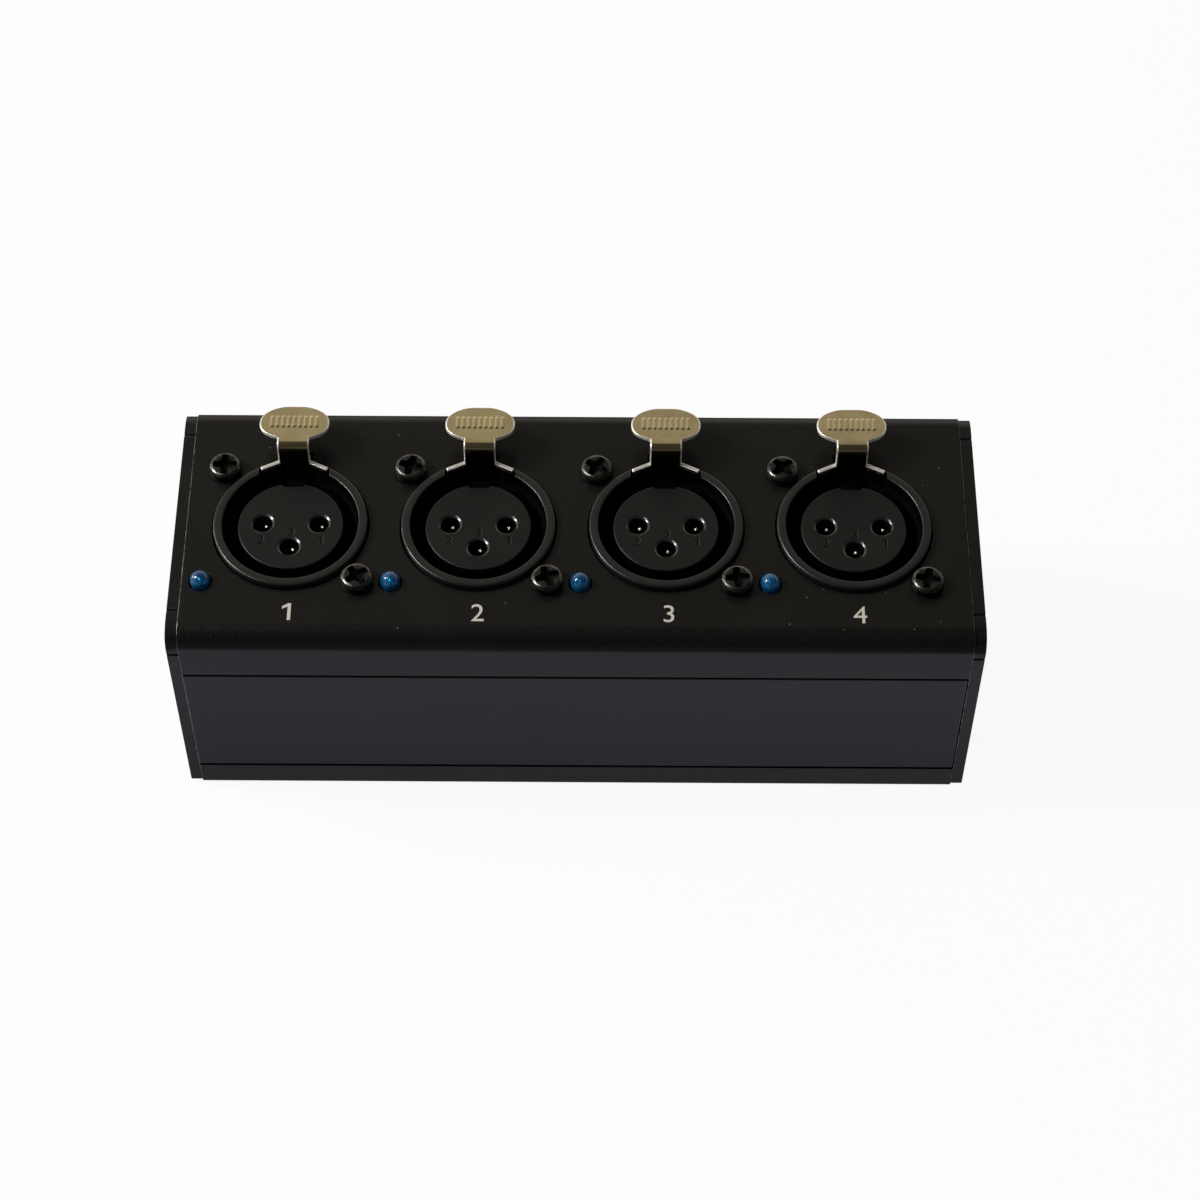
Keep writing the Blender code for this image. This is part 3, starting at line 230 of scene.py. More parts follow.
def filletedOutline(corners, steps=6):
    # each corner (a, b, radius) becomes an arc: its ends lie radius / tan(half the corner's angle) away
    # along the two sides, and its centre radius / sin(half angle) along the line that halves the corner
    points = []
    for i, (a, b, radius) in enumerate(corners):
        here = np.array((a, b))
        if radius == 0.0:
            points.append(here)
            continue
        toBefore = np.array(corners[i - 1][:2]) - here
        toAfter = np.array(corners[(i + 1) % len(corners)][:2]) - here
        toBefore = toBefore / np.linalg.norm(toBefore)
        toAfter = toAfter / np.linalg.norm(toAfter)
        half = acos(np.clip(toBefore @ toAfter, -1.0, 1.0)) / 2
        middle = (toBefore + toAfter) / np.linalg.norm(toBefore + toAfter)
        centre = here + middle * radius / sin(half)
        start = here + toBefore * radius / tan(half) - centre
        end = here + toAfter * radius / tan(half) - centre
        first = atan2(start[1], start[0])
        sweep = (atan2(end[1], end[0]) - first + pi) % (2 * pi) - pi
        angles = first + sweep * np.linspace(0.0, 1.0, steps + 1)
        points.extend(centre + radius * np.stack([np.cos(angles), np.sin(angles)], -1))
    return np.array(points)


def turnedGrid(profile, turns, centre=(0.0, 0.0, 0.0), axis="Z"):
    # profile points (radius, height) turned about an axis: (r cos t, r sin t, h) for each angle t
    angles = 2 * pi * np.arange(turns) / turns
    across = np.cos(angles)[:, None] * profile[:, 0]
    beside = np.sin(angles)[:, None] * profile[:, 0]
    level = np.broadcast_to(profile[:, 1], across.shape)
    return np.stack({"X": (level, across, beside), "Z": (across, beside, level)}[axis], -1) + np.array(centre)


def slicedRing(profile, halfGap, turns):
    # ring cut by two planes at x = +halfGap and -halfGap behind its axis: at radius r it runs
    # from the angle pi - acos(halfGap / r) round the front to 2 pi + acos(halfGap / r)
    lean = np.arccos(halfGap / profile[:, 0])
    angles = (pi - lean) + (pi + 2 * lean) * np.linspace(0.0, 1.0, turns)[:, None]
    return np.stack([profile[:, 0] * np.cos(angles), profile[:, 0] * np.sin(angles),
                     np.broadcast_to(profile[:, 1], angles.shape)], -1)


def prismGrid(outline, low, high, axis="Z"):
    # flat outline (a, b) carried from one level to another along an axis
    levels = np.array((low, high))[:, None] + np.zeros(len(outline))
    a = np.broadcast_to(outline[:, 0], levels.shape)
    b = np.broadcast_to(outline[:, 1], levels.shape)
    return np.stack({"X": (levels, a, b), "Z": (a, b, levels)}[axis], -1)


def stripGrid(centres, sideways, normals, halfWidths, halfThickness, edge, across, relief=None):
    # sheet-metal strip: a rounded rectangle carried along a path; a point is
    # centre + sideways * (a (w - e) + s e) + normal * (h (t - e) + c e), and relief raises its upper face
    flat = np.linspace(-1.0, 1.0, across)
    under = np.linspace(1.0, -1.0, 9)
    bend = np.linspace(0.0, pi, 13)[1:-1]
    upper = np.where(bend <= pi / 2, 1.0, -1.0)
    a = np.concatenate([flat, np.ones(11), under, -np.ones(11)])
    s = np.concatenate([0.0 * flat, np.sin(bend), 0.0 * under, -np.sin(bend)])
    h = np.concatenate([np.ones(across), upper, -np.ones(9), -upper])
    c = np.concatenate([np.ones(across), np.cos(bend), -np.ones(9), -np.cos(bend)])
    wide = np.minimum(edge, halfWidths)[:, None]
    thin = np.minimum(edge, halfThickness)[:, None]
    x = a * (halfWidths[:, None] - wide) + s * wide
    n = h * (halfThickness[:, None] - thin) + c * thin
    if relief is not None:
        n[:, :across] += relief(x[:, :across])
    return centres[:, None, :] + x[..., None] * sideways + n[..., None] * normals[:, None, :]


def edgeInset(remaining, edge):
    # how far a rounded end draws in where this much length remains: e - sqrt(e^2 - (e - remaining)^2)
    short = np.clip(edge - remaining, 0.0, edge)
    return edge - np.sqrt(edge ** 2 - short ** 2)


def smoothStep(value):
    # 0 below 0, 1 above 1, and 3 v^2 - 2 v^3 between
    held = np.clip(value, 0.0, 1.0)
    return held * held * (3.0 - 2.0 * held)


def softMaximum(first, second, blend):
    # the larger of two values, rounded where they are within a blend of each other
    near = np.clip(blend - np.abs(first - second), 0.0, None)
    return np.maximum(first, second) + near ** 2 / (4.0 * blend)


def meshFromGrids(name, grids, sharpAbove):
    # each grid is (points, wrapRows, wrapColumns, caps); quads join neighbours, caps 0 leaves the ends
    # open and caps n closes them with finish n - 1, and a fifth item gives the number of the finish for
    # the whole grid, for each column of quads or for each quad
    points = []
    faces = []
    finishes = []
    for grid, wrapRows, wrapColumns, caps, *marks in grids:
        rows, columns = grid.shape[:2]
        start = sum(len(block) for block in points)
        i, j = np.meshgrid(np.arange(rows if wrapRows else rows - 1),
                           np.arange(columns if wrapColumns else columns - 1), indexing="ij")
        nextRow = (i + 1) % rows
        nextColumn = (j + 1) % columns
        quads = np.stack([i * columns + j, nextRow * columns + j,
                          nextRow * columns + nextColumn, i * columns + nextColumn], -1)
        faces.extend((start + quads.reshape(-1, 4)).tolist())
        own = np.asarray(marks[0] if marks else 0)
        own = own[..., :i.shape[1]] if own.ndim else own
        finishes.append(np.broadcast_to(own, i.shape).ravel())
        if caps:
            finishes.append(np.full(2, caps - 1))
            faces.append((start + np.arange(columns)).tolist())
            faces.append((start + (rows - 1) * columns + np.arange(columns)).tolist())
        points.append(grid.reshape(-1, 3))
    mesh = bpy.data.meshes.new(name)
    mesh.from_pydata(np.concatenate(points).tolist(), [], faces)
    mesh.polygons.foreach_set("material_index", np.concatenate(finishes))
    return tidyMesh(mesh, sharpAbove)


def tidyMesh(mesh, sharpAbove):
    # weld doubled points, drop collapsed faces, turn every face outwards, keep hard corners sharp
    shape = bmesh.new()
    shape.from_mesh(mesh)
    bmesh.ops.remove_doubles(shape, verts=shape.verts, dist=weldWithin)
    bmesh.ops.dissolve_degenerate(shape, edges=shape.edges, dist=sliverWithin)
    bmesh.ops.recalc_face_normals(shape, faces=shape.faces)
    shape.to_mesh(mesh)
    shape.free()
    mesh.shade_smooth()
    mesh.set_sharp_from_angle(angle=radians(sharpAbove))
    return mesh


def sharpRoundLevelFaces(mesh):
    # a level face is shaded flat right up to its rounded edges
    shape = bmesh.new()
    shape.from_mesh(mesh)
    for edge in shape.edges:
        if len({abs(face.normal.z) > 0.999 for face in edge.link_faces}) > 1:
            edge.smooth = False
    shape.to_mesh(mesh)
    shape.free()


def curveMesh(curve):
    # a flat curve or a text, filled and drawn to its thickness, as a mesh
    holder = bpy.data.objects.new("outline", curve)
    bpy.context.scene.collection.objects.link(holder)
    graph = bpy.context.evaluated_depsgraph_get()
    mesh = bpy.data.meshes.new_from_object(holder.evaluated_get(graph))
    bpy.data.objects.remove(holder, do_unlink=True)
    return mesh


def outlineCurve(name, outlines):
    # closed flat outlines as one filled curve; those inside the first one are holes in it
    curve = bpy.data.curves.new(name, "CURVE")
    curve.dimensions = "2D"
    curve.fill_mode = "BOTH"
    for outline in outlines:
        spline = curve.splines.new("POLY")
        spline.points.add(len(outline) - 1)
        rows = np.zeros((len(outline), 4))
        rows[:, :2] = outline
        spline.points.foreach_set("co", rows.ravel())
        spline.use_cyclic_u = True
    return curve


def pointsOf(mesh, group, field):
    # one field of all the points or faces of a mesh, as rows of three
    rows = np.empty(len(group) * 3)
    group.foreach_get(field, rows)
    return rows.reshape(-1, 3)


def flatPlate(name, outlines, low, high, edge):
    # plate with rounded rims between two levels
    curve = outlineCurve(name, outlines)
    curve.bevel_depth = edge
    curve.bevel_resolution = 3
    curve.offset = -edge
    curve.extrude = (high - low) / 2 - edge
    mesh = curveMesh(curve)
    mesh.transform(Matrix.Translation((0.0, 0.0, (high + low) / 2)))
    return tidyMesh(mesh, 35.0)


def lettering(text, height, thickness):
    # printed or moulded numeral, scaled to its cap height, its middle at the origin; the 1 is drawn
    # here as a stem with a flag, because the built-in font has none
    if text == "1":
        curve = outlineCurve("numeral", [np.array([(0.27, 0.0), (0.43, 0.0), (0.43, 1.0), (0.30, 1.0),
                                                   (0.0, 0.82), (0.0, 0.66), (0.27, 0.81)])])
        curve.fill_mode = "FRONT"
    else:
        curve = bpy.data.curves.new("numeral", "FONT")
        curve.body = text
        curve.size = 1.0
        curve.resolution_u = 6
    mesh = curveMesh(curve)
    points = pointsOf(mesh, mesh.vertices, "co")
    low, high = points.min(0), points.max(0)
    points = (points - (low + high) / 2) * height / (high[1] - low[1])
    mesh.vertices.foreach_set("co", points.ravel())
    shape = bmesh.new()
    shape.from_mesh(mesh)
    bmesh.ops.remove_doubles(shape, verts=shape.verts, dist=sliverWithin)
    lifted = bmesh.ops.extrude_face_region(shape, geom=shape.faces[:])
    top = [item for item in lifted["geom"] if isinstance(item, bmesh.types.BMVert)]
    bmesh.ops.translate(shape, verts=top, vec=(0.0, 0.0, thickness))
    bmesh.ops.recalc_face_normals(shape, faces=shape.faces)
    shape.to_mesh(mesh)
    shape.free()
    return mesh


# Pieces in their places

def socketCentre(number):
    # the lower contact stands in front of its socket's middle, by its y in the contacts' places
    low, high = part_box("socket_contact_%d_3" % number)
    return (low.x + high.x) / 2, (low.y + high.y) / 2 - socketLook["holes"][2][1] * mm


def movedCopy(mesh, x, y, z, turn=0.0):
    # copy of a mesh, turned about its own upright axis and then moved
    copy = mesh.copy()
    copy.transform(Matrix.Translation((x, y, z)) @ Matrix.Rotation(turn, 4, "Z"))
    return copy


def addPiece(name, mesh, finishes, nodes=(), body="box"):
    # the mesh as a piece of the part: its finishes, the body it rides on and the CAD nodes it stands for
    piece = bpy.data.objects.new(name, mesh)
    bpy.context.scene.collection.objects.link(piece)
    for finish in finishes:
        mesh.materials.append(finish)
    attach(piece, body)
    if nodes:
        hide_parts(*nodes)
    return piece


def addToSockets(pieces, shift=(0.0, 0.0)):
    # a copy of each piece at every socket; a # in a node's or body's name becomes the socket's number
    for number in range(1, socketCount + 1):
        x, y = socketCentre(number)
        for name, mesh, finishes, slot, nodes, body in pieces:
            copy = movedCopy(mesh, x + shift[0], y + shift[1], 0.0)
            addPiece("%s_%d" % (name, number), copy, finishes,
                     [node.replace("#", str(number)) for node in nodes], body.replace("#", str(number)))


def roundedCopy(name, nodeName, width, finishes, stretch=None):
    # a CAD node's solid with its edges rounded: welded, its flat triangles joined, then bevelled;
    # the bevel carries the second finish, which is the worn edge
    shape = bmesh.new()
    shape.from_mesh(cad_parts[nodeName].data)
    if stretch:
        stretch(shape)
    bmesh.ops.remove_doubles(shape, verts=shape.verts, dist=weldWithin)
    bmesh.ops.dissolve_limit(shape, angle_limit=radians(0.5), verts=shape.verts, edges=shape.edges)
    hard = [edge for edge in shape.edges if edge.is_manifold and edge.calc_face_angle() > radians(40.0)]
    for face in shape.faces:
        face.material_index = 0
    bmesh.ops.bevel(shape, geom=hard, offset=width, offset_type="OFFSET", segments=2, profile=0.5,
                    affect="EDGES", clamp_overlap=True, material=min(1, len(finishes) - 1))
    mesh = bpy.data.meshes.new(name)
    shape.to_mesh(mesh)
    shape.free()
    mesh.shade_smooth()
    mesh.set_sharp_from_angle(angle=radians(20.0))
    piece = addPiece(name, mesh, finishes, [nodeName])
    # large flat faces decide the shading at their corners, so a flat face beside a rounded edge stays flat
    even = piece.modifiers.new("even shading", "WEIGHTED_NORMAL")
    even.keep_sharp = True
    even.weight = 100
    return piece


def bareSeam(mesh, level, reach):
    # worn edge faces beside the planes x = level and x = -level become the third finish, bare wear and partly
    # painted highlight
    middles = pointsOf(mesh, mesh.polygons, "center")
    numbers = np.empty(len(mesh.polygons), dtype=np.int32)
    mesh.polygons.foreach_get("material_index", numbers)
    beside = np.abs(np.abs(middles[:, 0]) - level) < reach
    numbers[beside & (numbers == 1)] = 2
    mesh.polygons.foreach_set("material_index", numbers)


# Camera, set where the photograph's camera stood

cameraLook = {
    "place": (3.76 * mm, -272.42 * mm, 412.76 * mm),
    "below": radians(55.280),    # view below the horizontal
    "yaw": radians(-0.055),
    "roll": radians(0.278),
    "sensor": 36.0,
    "focal": 3090.5 / 1200,      # focal length in pixels of the 1200 px frame, against the sensor's width
}


def makeCamera():
    # ahead = (sin yaw cos below, cos yaw cos below, -sin below); right and above are then rolled about it
    look = cameraLook
    level = cos(look["below"])
    ahead = Vector((sin(look["yaw"]) * level, cos(look["yaw"]) * level, -sin(look["below"])))
    right = Vector((cos(look["yaw"]), -sin(look["yaw"]), 0.0))
    above = right.cross(ahead)
    turnedRight = right * cos(look["roll"]) + above * sin(look["roll"])
    turnedAbove = above * cos(look["roll"]) - right * sin(look["roll"])
    lens = bpy.data.cameras.new("camera")
    lens.sensor_width = look["sensor"]
    lens.lens = look["focal"] * look["sensor"]
    lens.clip_start = 0.01
    camera = bpy.data.objects.new("camera", lens)
    turn = Matrix((turnedRight, turnedAbove, -ahead)).transposed().to_4x4()
    camera.matrix_world = Matrix.Translation(look["place"]) @ turn
    bpy.context.scene.collection.objects.link(camera)
    bpy.context.scene.camera = camera


# Floor, world and lamps

stageLook = {
    "floorSize": 6.0,
    "floorColour": "#f2f2f2",
    "floorGlow": 0.93,           # share of plain white that the camera sees on the floor
    "floorMirrored": 0.88,       # the floor's brightness beside the object, where surfaces mirror it
    "floorFar": 0.22,            # and where it is far from the object
    "floorFade": (0.026, 0.050),
    # painted shadow in the floor's mirrored glow, at the object's foot
    "floorPaintedShadow": (0.5, 0.026),  # darker right at the object's foot
    "floorTint": "#eef1ff",
    "worldTint": "#f4f6fa",
    "worldLevel": 0.46,          # soft light on the object from the bright side
    "worldDim": 0.24,            # and from the side of the room
    "backdropLevel": 1.3,        # brightness of the white backdrop that surfaces mirror
    "room": 0.06,                # and of the room above and in front
    "backdropLean": (-0.35, 0.7),    # the bright side lies to the left and behind
    "backdropSpan": 0.75,
    "backdropTint": "#fff4e4",
    # name, place, size and power of each lamp
    "lamps": (("key", (-0.85, 0.10, 0.75), 0.34, 10.0), ("top", (-0.45, 0.0, 0.85), 0.10, 0.9),
              ("window", (-0.87, 0.38, 0.06), 0.20, 1.4)),
}


def rayKinds(tree):
    # 1 for rays from the camera, and 1 for rays that a surface mirrors or bends
    rays = addNode(tree, "LightPath", {})
    mirrored = addNode(tree, "Math", {0: (rays, "Is Glossy Ray"), 1: (rays, "Is Transmission Ray")},
                       operation="MAXIMUM")
    return (rays, "Is Camera Ray"), mirrored


def whiteToCamera(tree, seen, brightness, tint):
    # strength and colour of a glow: white at full strength to the camera, tinted where surfaces mirror it
    level = addNode(tree, "Math", {0: brightness, 1: seen}, operation="MAXIMUM")
    colour = addNode(tree, "Mix", {0: seen, 6: tint, 7: "#ffffff"}, data_type="RGBA")
    return {"Color": (colour, 2), "Strength": level}


def lightWorld(world):
    # brightness along a direction falls from the backdrop's to the room's with its height above a plane
    # that leans towards the bright side
    look = stageLook
    world.use_nodes = True
    tree = world.node_tree
    tree.nodes.clear()
    leanLeft, leanBack = look["backdropLean"]
    height = addNode(tree, "VectorMath", {0: (addNode(tree, "TexCoord", {}), "Generated"),
                                          1: (-leanLeft, -leanBack, 1.0)}, operation="DOT_PRODUCT")
    span = {0: (height, "Value"), 1: -look["backdropSpan"], 2: look["backdropSpan"]}
    mirrored = addNode(tree, "MapRange", {**span, 3: look["backdropLevel"], 4: look["room"]})
    dimmed = addNode(tree, "MapRange", {**span, 3: look["worldLevel"], 4: look["worldDim"]})
    soft = addNode(tree, "Background", {"Color": look["worldTint"], "Strength": dimmed})
    seen, reflected = rayKinds(tree)
    white = addNode(tree, "Background", whiteToCamera(tree, seen, mirrored, look["backdropTint"]))
    either = addNode(tree, "Math", {0: reflected, 1: seen}, operation="MAXIMUM")
    chosen = addNode(tree, "MixShader", {0: either, 1: soft, 2: white})
    addNode(tree, "OutputWorld", {"Surface": chosen})


def floorFinish():
    # white sweep that glows for the camera and for mirrored rays and keeps the object's shadow; mirrored,
    # it fades with the distance from the object's foot, which is the length of (|x| - half width,
    # |y| - half depth) with each held above 0, and right at the foot it is darker, a painted shadow
    look = stageLook
    finish, tree, shader, where = startMaterial("white paper sweep", {
        "Base Color": linearColour(look["floorColour"]), "Roughness": 0.9, "Specular IOR Level": 0.0})
    folded = addNode(tree, "VectorMath", {0: where}, operation="ABSOLUTE")
    beyond = addNode(tree, "VectorMath", {0: folded, 1: (solidHigh.x, solidHigh.y, 0.0)},
                     operation="SUBTRACT")
    held = addNode(tree, "VectorMath", {0: beyond, 1: (0.0, 0.0, 0.0)}, operation="MAXIMUM")
    away = (addNode(tree, "VectorMath", {0: held}, operation="LENGTH"), "Value")
    fade = addNode(tree, "MapRange", {0: away, 1: look["floorFade"][0], 2: look["floorFade"][1],
                                      3: look["floorMirrored"], 4: look["floorFar"]})
    # painted shadow: the mirrored glow darkens towards the object's foot
    foot = addNode(tree, "MapRange", {0: away, 2: look["floorPaintedShadow"][1], 3: look["floorPaintedShadow"][0]})
    mirrored = addNode(tree, "Math", {0: fade, 1: foot}, operation="MULTIPLY")
    seen, reflected = rayKinds(tree)
    glow = addNode(tree, "Emission", whiteToCamera(tree, seen, mirrored, look["floorTint"]))
    plain = addNode(tree, "Math", {0: seen, 1: look["floorGlow"]}, operation="MULTIPLY")
    share = addNode(tree, "Math", {0: plain, 1: reflected}, operation="MAXIMUM")
    blend = addNode(tree, "MixShader", {0: share, 1: shader, 2: glow})
    tree.links.new(blend.outputs[0], tree.nodes["Material Output"].inputs["Surface"])
    return finish


def makeStage():
    look = stageLook
    scene = bpy.context.scene
    scene.view_settings.view_transform = "Standard"
    scene.world = bpy.data.worlds.new("studio")
    lightWorld(scene.world)
    half = look["floorSize"] / 2
    mesh = bpy.data.meshes.new("floor")
    mesh.from_pydata([(-half, -half, 0.0), (half, -half, 0.0), (half, half, 0.0), (-half, half, 0.0)],
                     [], [(0, 1, 2, 3)])
    mesh.materials.append(floorFinish())
    floor = bpy.data.objects.new("floor", mesh)
    scene.collection.objects.link(floor)
    for name, place, size, power in look["lamps"]:
        lamp = bpy.data.lights.new(name, "AREA")
        lamp.shape = "DISK"
        lamp.size = size
        lamp.energy = power
        holder = bpy.data.objects.new(name, lamp)
        holder.location = place
        holder.rotation_euler = (-Vector(place)).to_track_quat("-Z", "Y").to_euler()
        scene.collection.objects.link(holder)


makeCamera()
makeStage()
print("camera, floor and lamps set")


# Extruded body, sliding cover and end plates

bodyLook = {
    "panel": {"dark": "#0e0d0b", "light": "#12110f", "cloud": 14.0, "grain": 0.32, "grainColour": "#1b1a17",
              "grainShare": 0.6, "speckColour": "#77746c", "speckSpacing": 1.3, "speckSize": 0.09,
              "speckShare": 0.05, "rough": 0.32, "gloss": 0.21, "relief": 0.006},
    "cover": {"dark": "#111215", "light": "#151619", "cloud": 18.0, "grain": 0.32, "grainColour": "#1e1f23",
              "grainShare": 0.5, "speckColour": "#6a6b6d", "speckSpacing": 1.3, "speckSize": 0.09,
              "speckShare": 0.03, "rough": 0.33, "gloss": 0.22, "relief": 0.006},
    "edge": {"edgeFilm": "#262522", "bareMetal": "#a2a29e", "wearLength": 1.6, "wearFrom": 0.70},
    # seam: the sawn ends' edge, partly bare wear and partly painted highlight: its film is far paler than the
    # anodised face
    "seamWearAndHighlight": {"edgeFilm": "#5a5952", "bareMetal": "#dcdcd6", "wearLength": 1.1, "wearFrom": 0.42},
    "edgeRounding": 0.12 * mm,
    "seamReach": 0.3 * mm,
    "plateInward": 0.26 * mm,    # the plates close up to the profile's cut ends
    "plateOutward": 0.17 * mm,
    "plateSkin": 1.0 * mm,       # what lies deeper than this is the plate's inner face
    "plateRim": 1.6 * mm,        # and what lies this near its outline is its rim
    "numeralHeight": 3.0 * mm,
    "numeralShift": 0.3 * mm,
    "numeralY": -16.5 * mm,
    "inkFilm": 0.015 * mm,
    "ink": {"ink": "#c8c3b4", "thinInk": "#a19c8f", "patch": 0.5},
}


def makeBody():
    look = bodyLook
    panel = blastedAnodised("black anodised blasted aluminium", **look["panel"])
    cover = blastedAnodised("black anodised blasted cover strip", **look["cover"])
    edge = wornAnodisedEdge("worn anodised edge", **look["edge"])
    seamWearAndHighlight = wornAnodisedEdge("sawn edge, bare wear and painted highlight", **look["seamWearAndHighlight"])
    width = look["edgeRounding"]
    profile = roundedCopy("body_profile", "body_shell", width, [panel, edge, seamWearAndHighlight])
    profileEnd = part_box("body_shell")[1].x
    bareSeam(profile.data, profileEnd, look["seamReach"])
    roundedCopy("cover_strip", "front_cover", width, [cover, edge])
    for side, name in ((-1.0, "left"), (1.0, "right")):
        low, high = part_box("end_plate_" + name)
        outer = low.x if side < 0 else high.x
        middle = (low + high) / 2

        def closeUp(shape):
            # inner face moves towards the profile, and the rim outwards by the same small step all round
            for vert in shape.verts:
                if abs(vert.co.x - outer) > look["plateSkin"]:
                    vert.co.x -= side * look["plateInward"]
                for axis, half in ((1, (high.y - low.y) / 2), (2, (high.z - low.z) / 2)):
                    off = vert.co[axis] - middle[axis]
                    if abs(off) > half - look["plateRim"]:
                        vert.co[axis] += look["plateOutward"] * (1.0 if off > 0 else -1.0)

        plate = roundedCopy(name + "_end_plate", "end_plate_" + name, width, [panel, edge, seamWearAndHighlight],
                            closeUp)
        bareSeam(plate.data, profileEnd, look["seamReach"])
    ink = printedInk("screen-printed ink", **look["ink"])
    for number in range(1, socketCount + 1):
        numeral = lettering(str(number), look["numeralHeight"], look["inkFilm"])
        x = socketCentre(number)[0] + look["numeralShift"]
        numeral.transform(Matrix.Translation((x, look["numeralY"], panelTop)))
        addPiece("panel_number_%d" % number, numeral, [ink])
    print("body, cover and end plates made")


# Round sockets

socketLook = {
    "shell": {"dark": "#131312", "light": "#171716", "cloud": 8.0, "texture": 0.25, "rough": 0.27,
              "gloss": 0.46, "relief": 0.002},
    # bore: near-black, painted shade for the inside of the bore; the ring's cut ends, the hidden shell and the
    # insert's walls take it too
    "bore": {"dark": "#030303", "light": "#050505", "cloud": 8.0, "texture": 0.25, "rough": 0.6,
             "gloss": 0.02, "relief": 0.005},
    "insert": {"dark": "#0f0f0e", "light": "#141412", "cloud": 6.0, "texture": 0.22, "rough": 0.38,
               "gloss": 0.24, "relief": 0.006},
    "polished": {"dark": "#161615", "light": "#1b1b19", "cloud": 3.0, "texture": 0.2, "rough": 0.20,
                 "gloss": 0.60, "relief": 0.002},
    # pin numeral colours are painted light: the near-black digit is painted shade in an engraved stroke, the
    # paler film a painted highlight on its lit wall
    "numeral": {"dark": "#030303", "light": "#060605", "cloud": 2.0, "texture": 0.2, "rough": 0.6,
                "gloss": 0.05, "relief": 0.004},
    "numeralPaintedHighlight": {"dark": "#2a2a27", "light": "#34342f", "cloud": 2.0, "texture": 0.2, "rough": 0.4,
                   "gloss": 0.3, "relief": 0.004},
    "turns": 128,
    "collarR": 11.5 * mm,
    "collarEdge": 0.32 * mm,
    "boreR": 9.6 * mm,
    "boreEdge": 0.20 * mm,
    "mouthDraw": 0.58 * mm,      # how much wider the bore is at its mouth
    "mouthDepth": (1.8 * mm, 2.4 * mm),    # where it starts and ends to narrow, below the rim
    "mouthStep": 0.1 * mm,
    "boreFrom": 13,              # the mouth's arc is points 8 to 14 of the ring: from here on it is the bore
    "rimRise": 1.0 * mm,
    "ringLow": 2.3 * mm,         # ring's lower end and the shell's top, below the panel's top
    "halfGap": 5.3 * mm,         # half the gap that the lever's wings stand in
    "shellR": 11.0 * mm,
    "shellEdge": 0.3 * mm,
    "floorHeight": 4.0 * mm,
    "floorOverlap": 0.5 * mm,
    "flangeX": 12.6 * mm,
    "flangeY": 12.3 * mm,
    "flangeSide": 4.0 * mm,
    "flangeFoot": 5.6 * mm,
    "flangeCornerR": 1.8 * mm,
    "flangeInnerR": 10.3 * mm,
    "flangeTurn": 62.0,
    "flangeThickness": 2.2 * mm,
    "pocketHalf": 2.7 * mm,      # room for the lever, and the walls round it
    "pocketBack": 13.55 * mm,
    "pocketDepth": 15.8 * mm,
    "pocketFloor": 1.2 * mm,
    "wallHalf": 4.9 * mm,
    "wallFront": 9.7 * mm,
    "wallBack": 14.3 * mm,
    "wallDrop": 1.1 * mm,
    "insertR": 7.9 * mm,
    "insertEdge": 0.22 * mm,
    "keywayHalf": 1.5 * mm,
    "keywayDepth": 0.55 * mm,
    "holeR": 1.42 * mm,
    "sinkWidth": 0.36 * mm,      # the holes' countersinks
    "sinkDepth": 0.21 * mm,
    "holes": ((-4.2, 0.4), (4.2, 0.4), (0.0, -3.8)),
    "numerals": (("2", -4.3, -2.6), ("3", 0.1, -1.1), ("1", 4.5, -2.6)),
    "numeralHeight": 1.45 * mm,
    "numeralFilm": 0.02 * mm,
    "numeralSeat": 0.005 * mm,
    "paintedHighlightShift": 0.20 * mm,
}


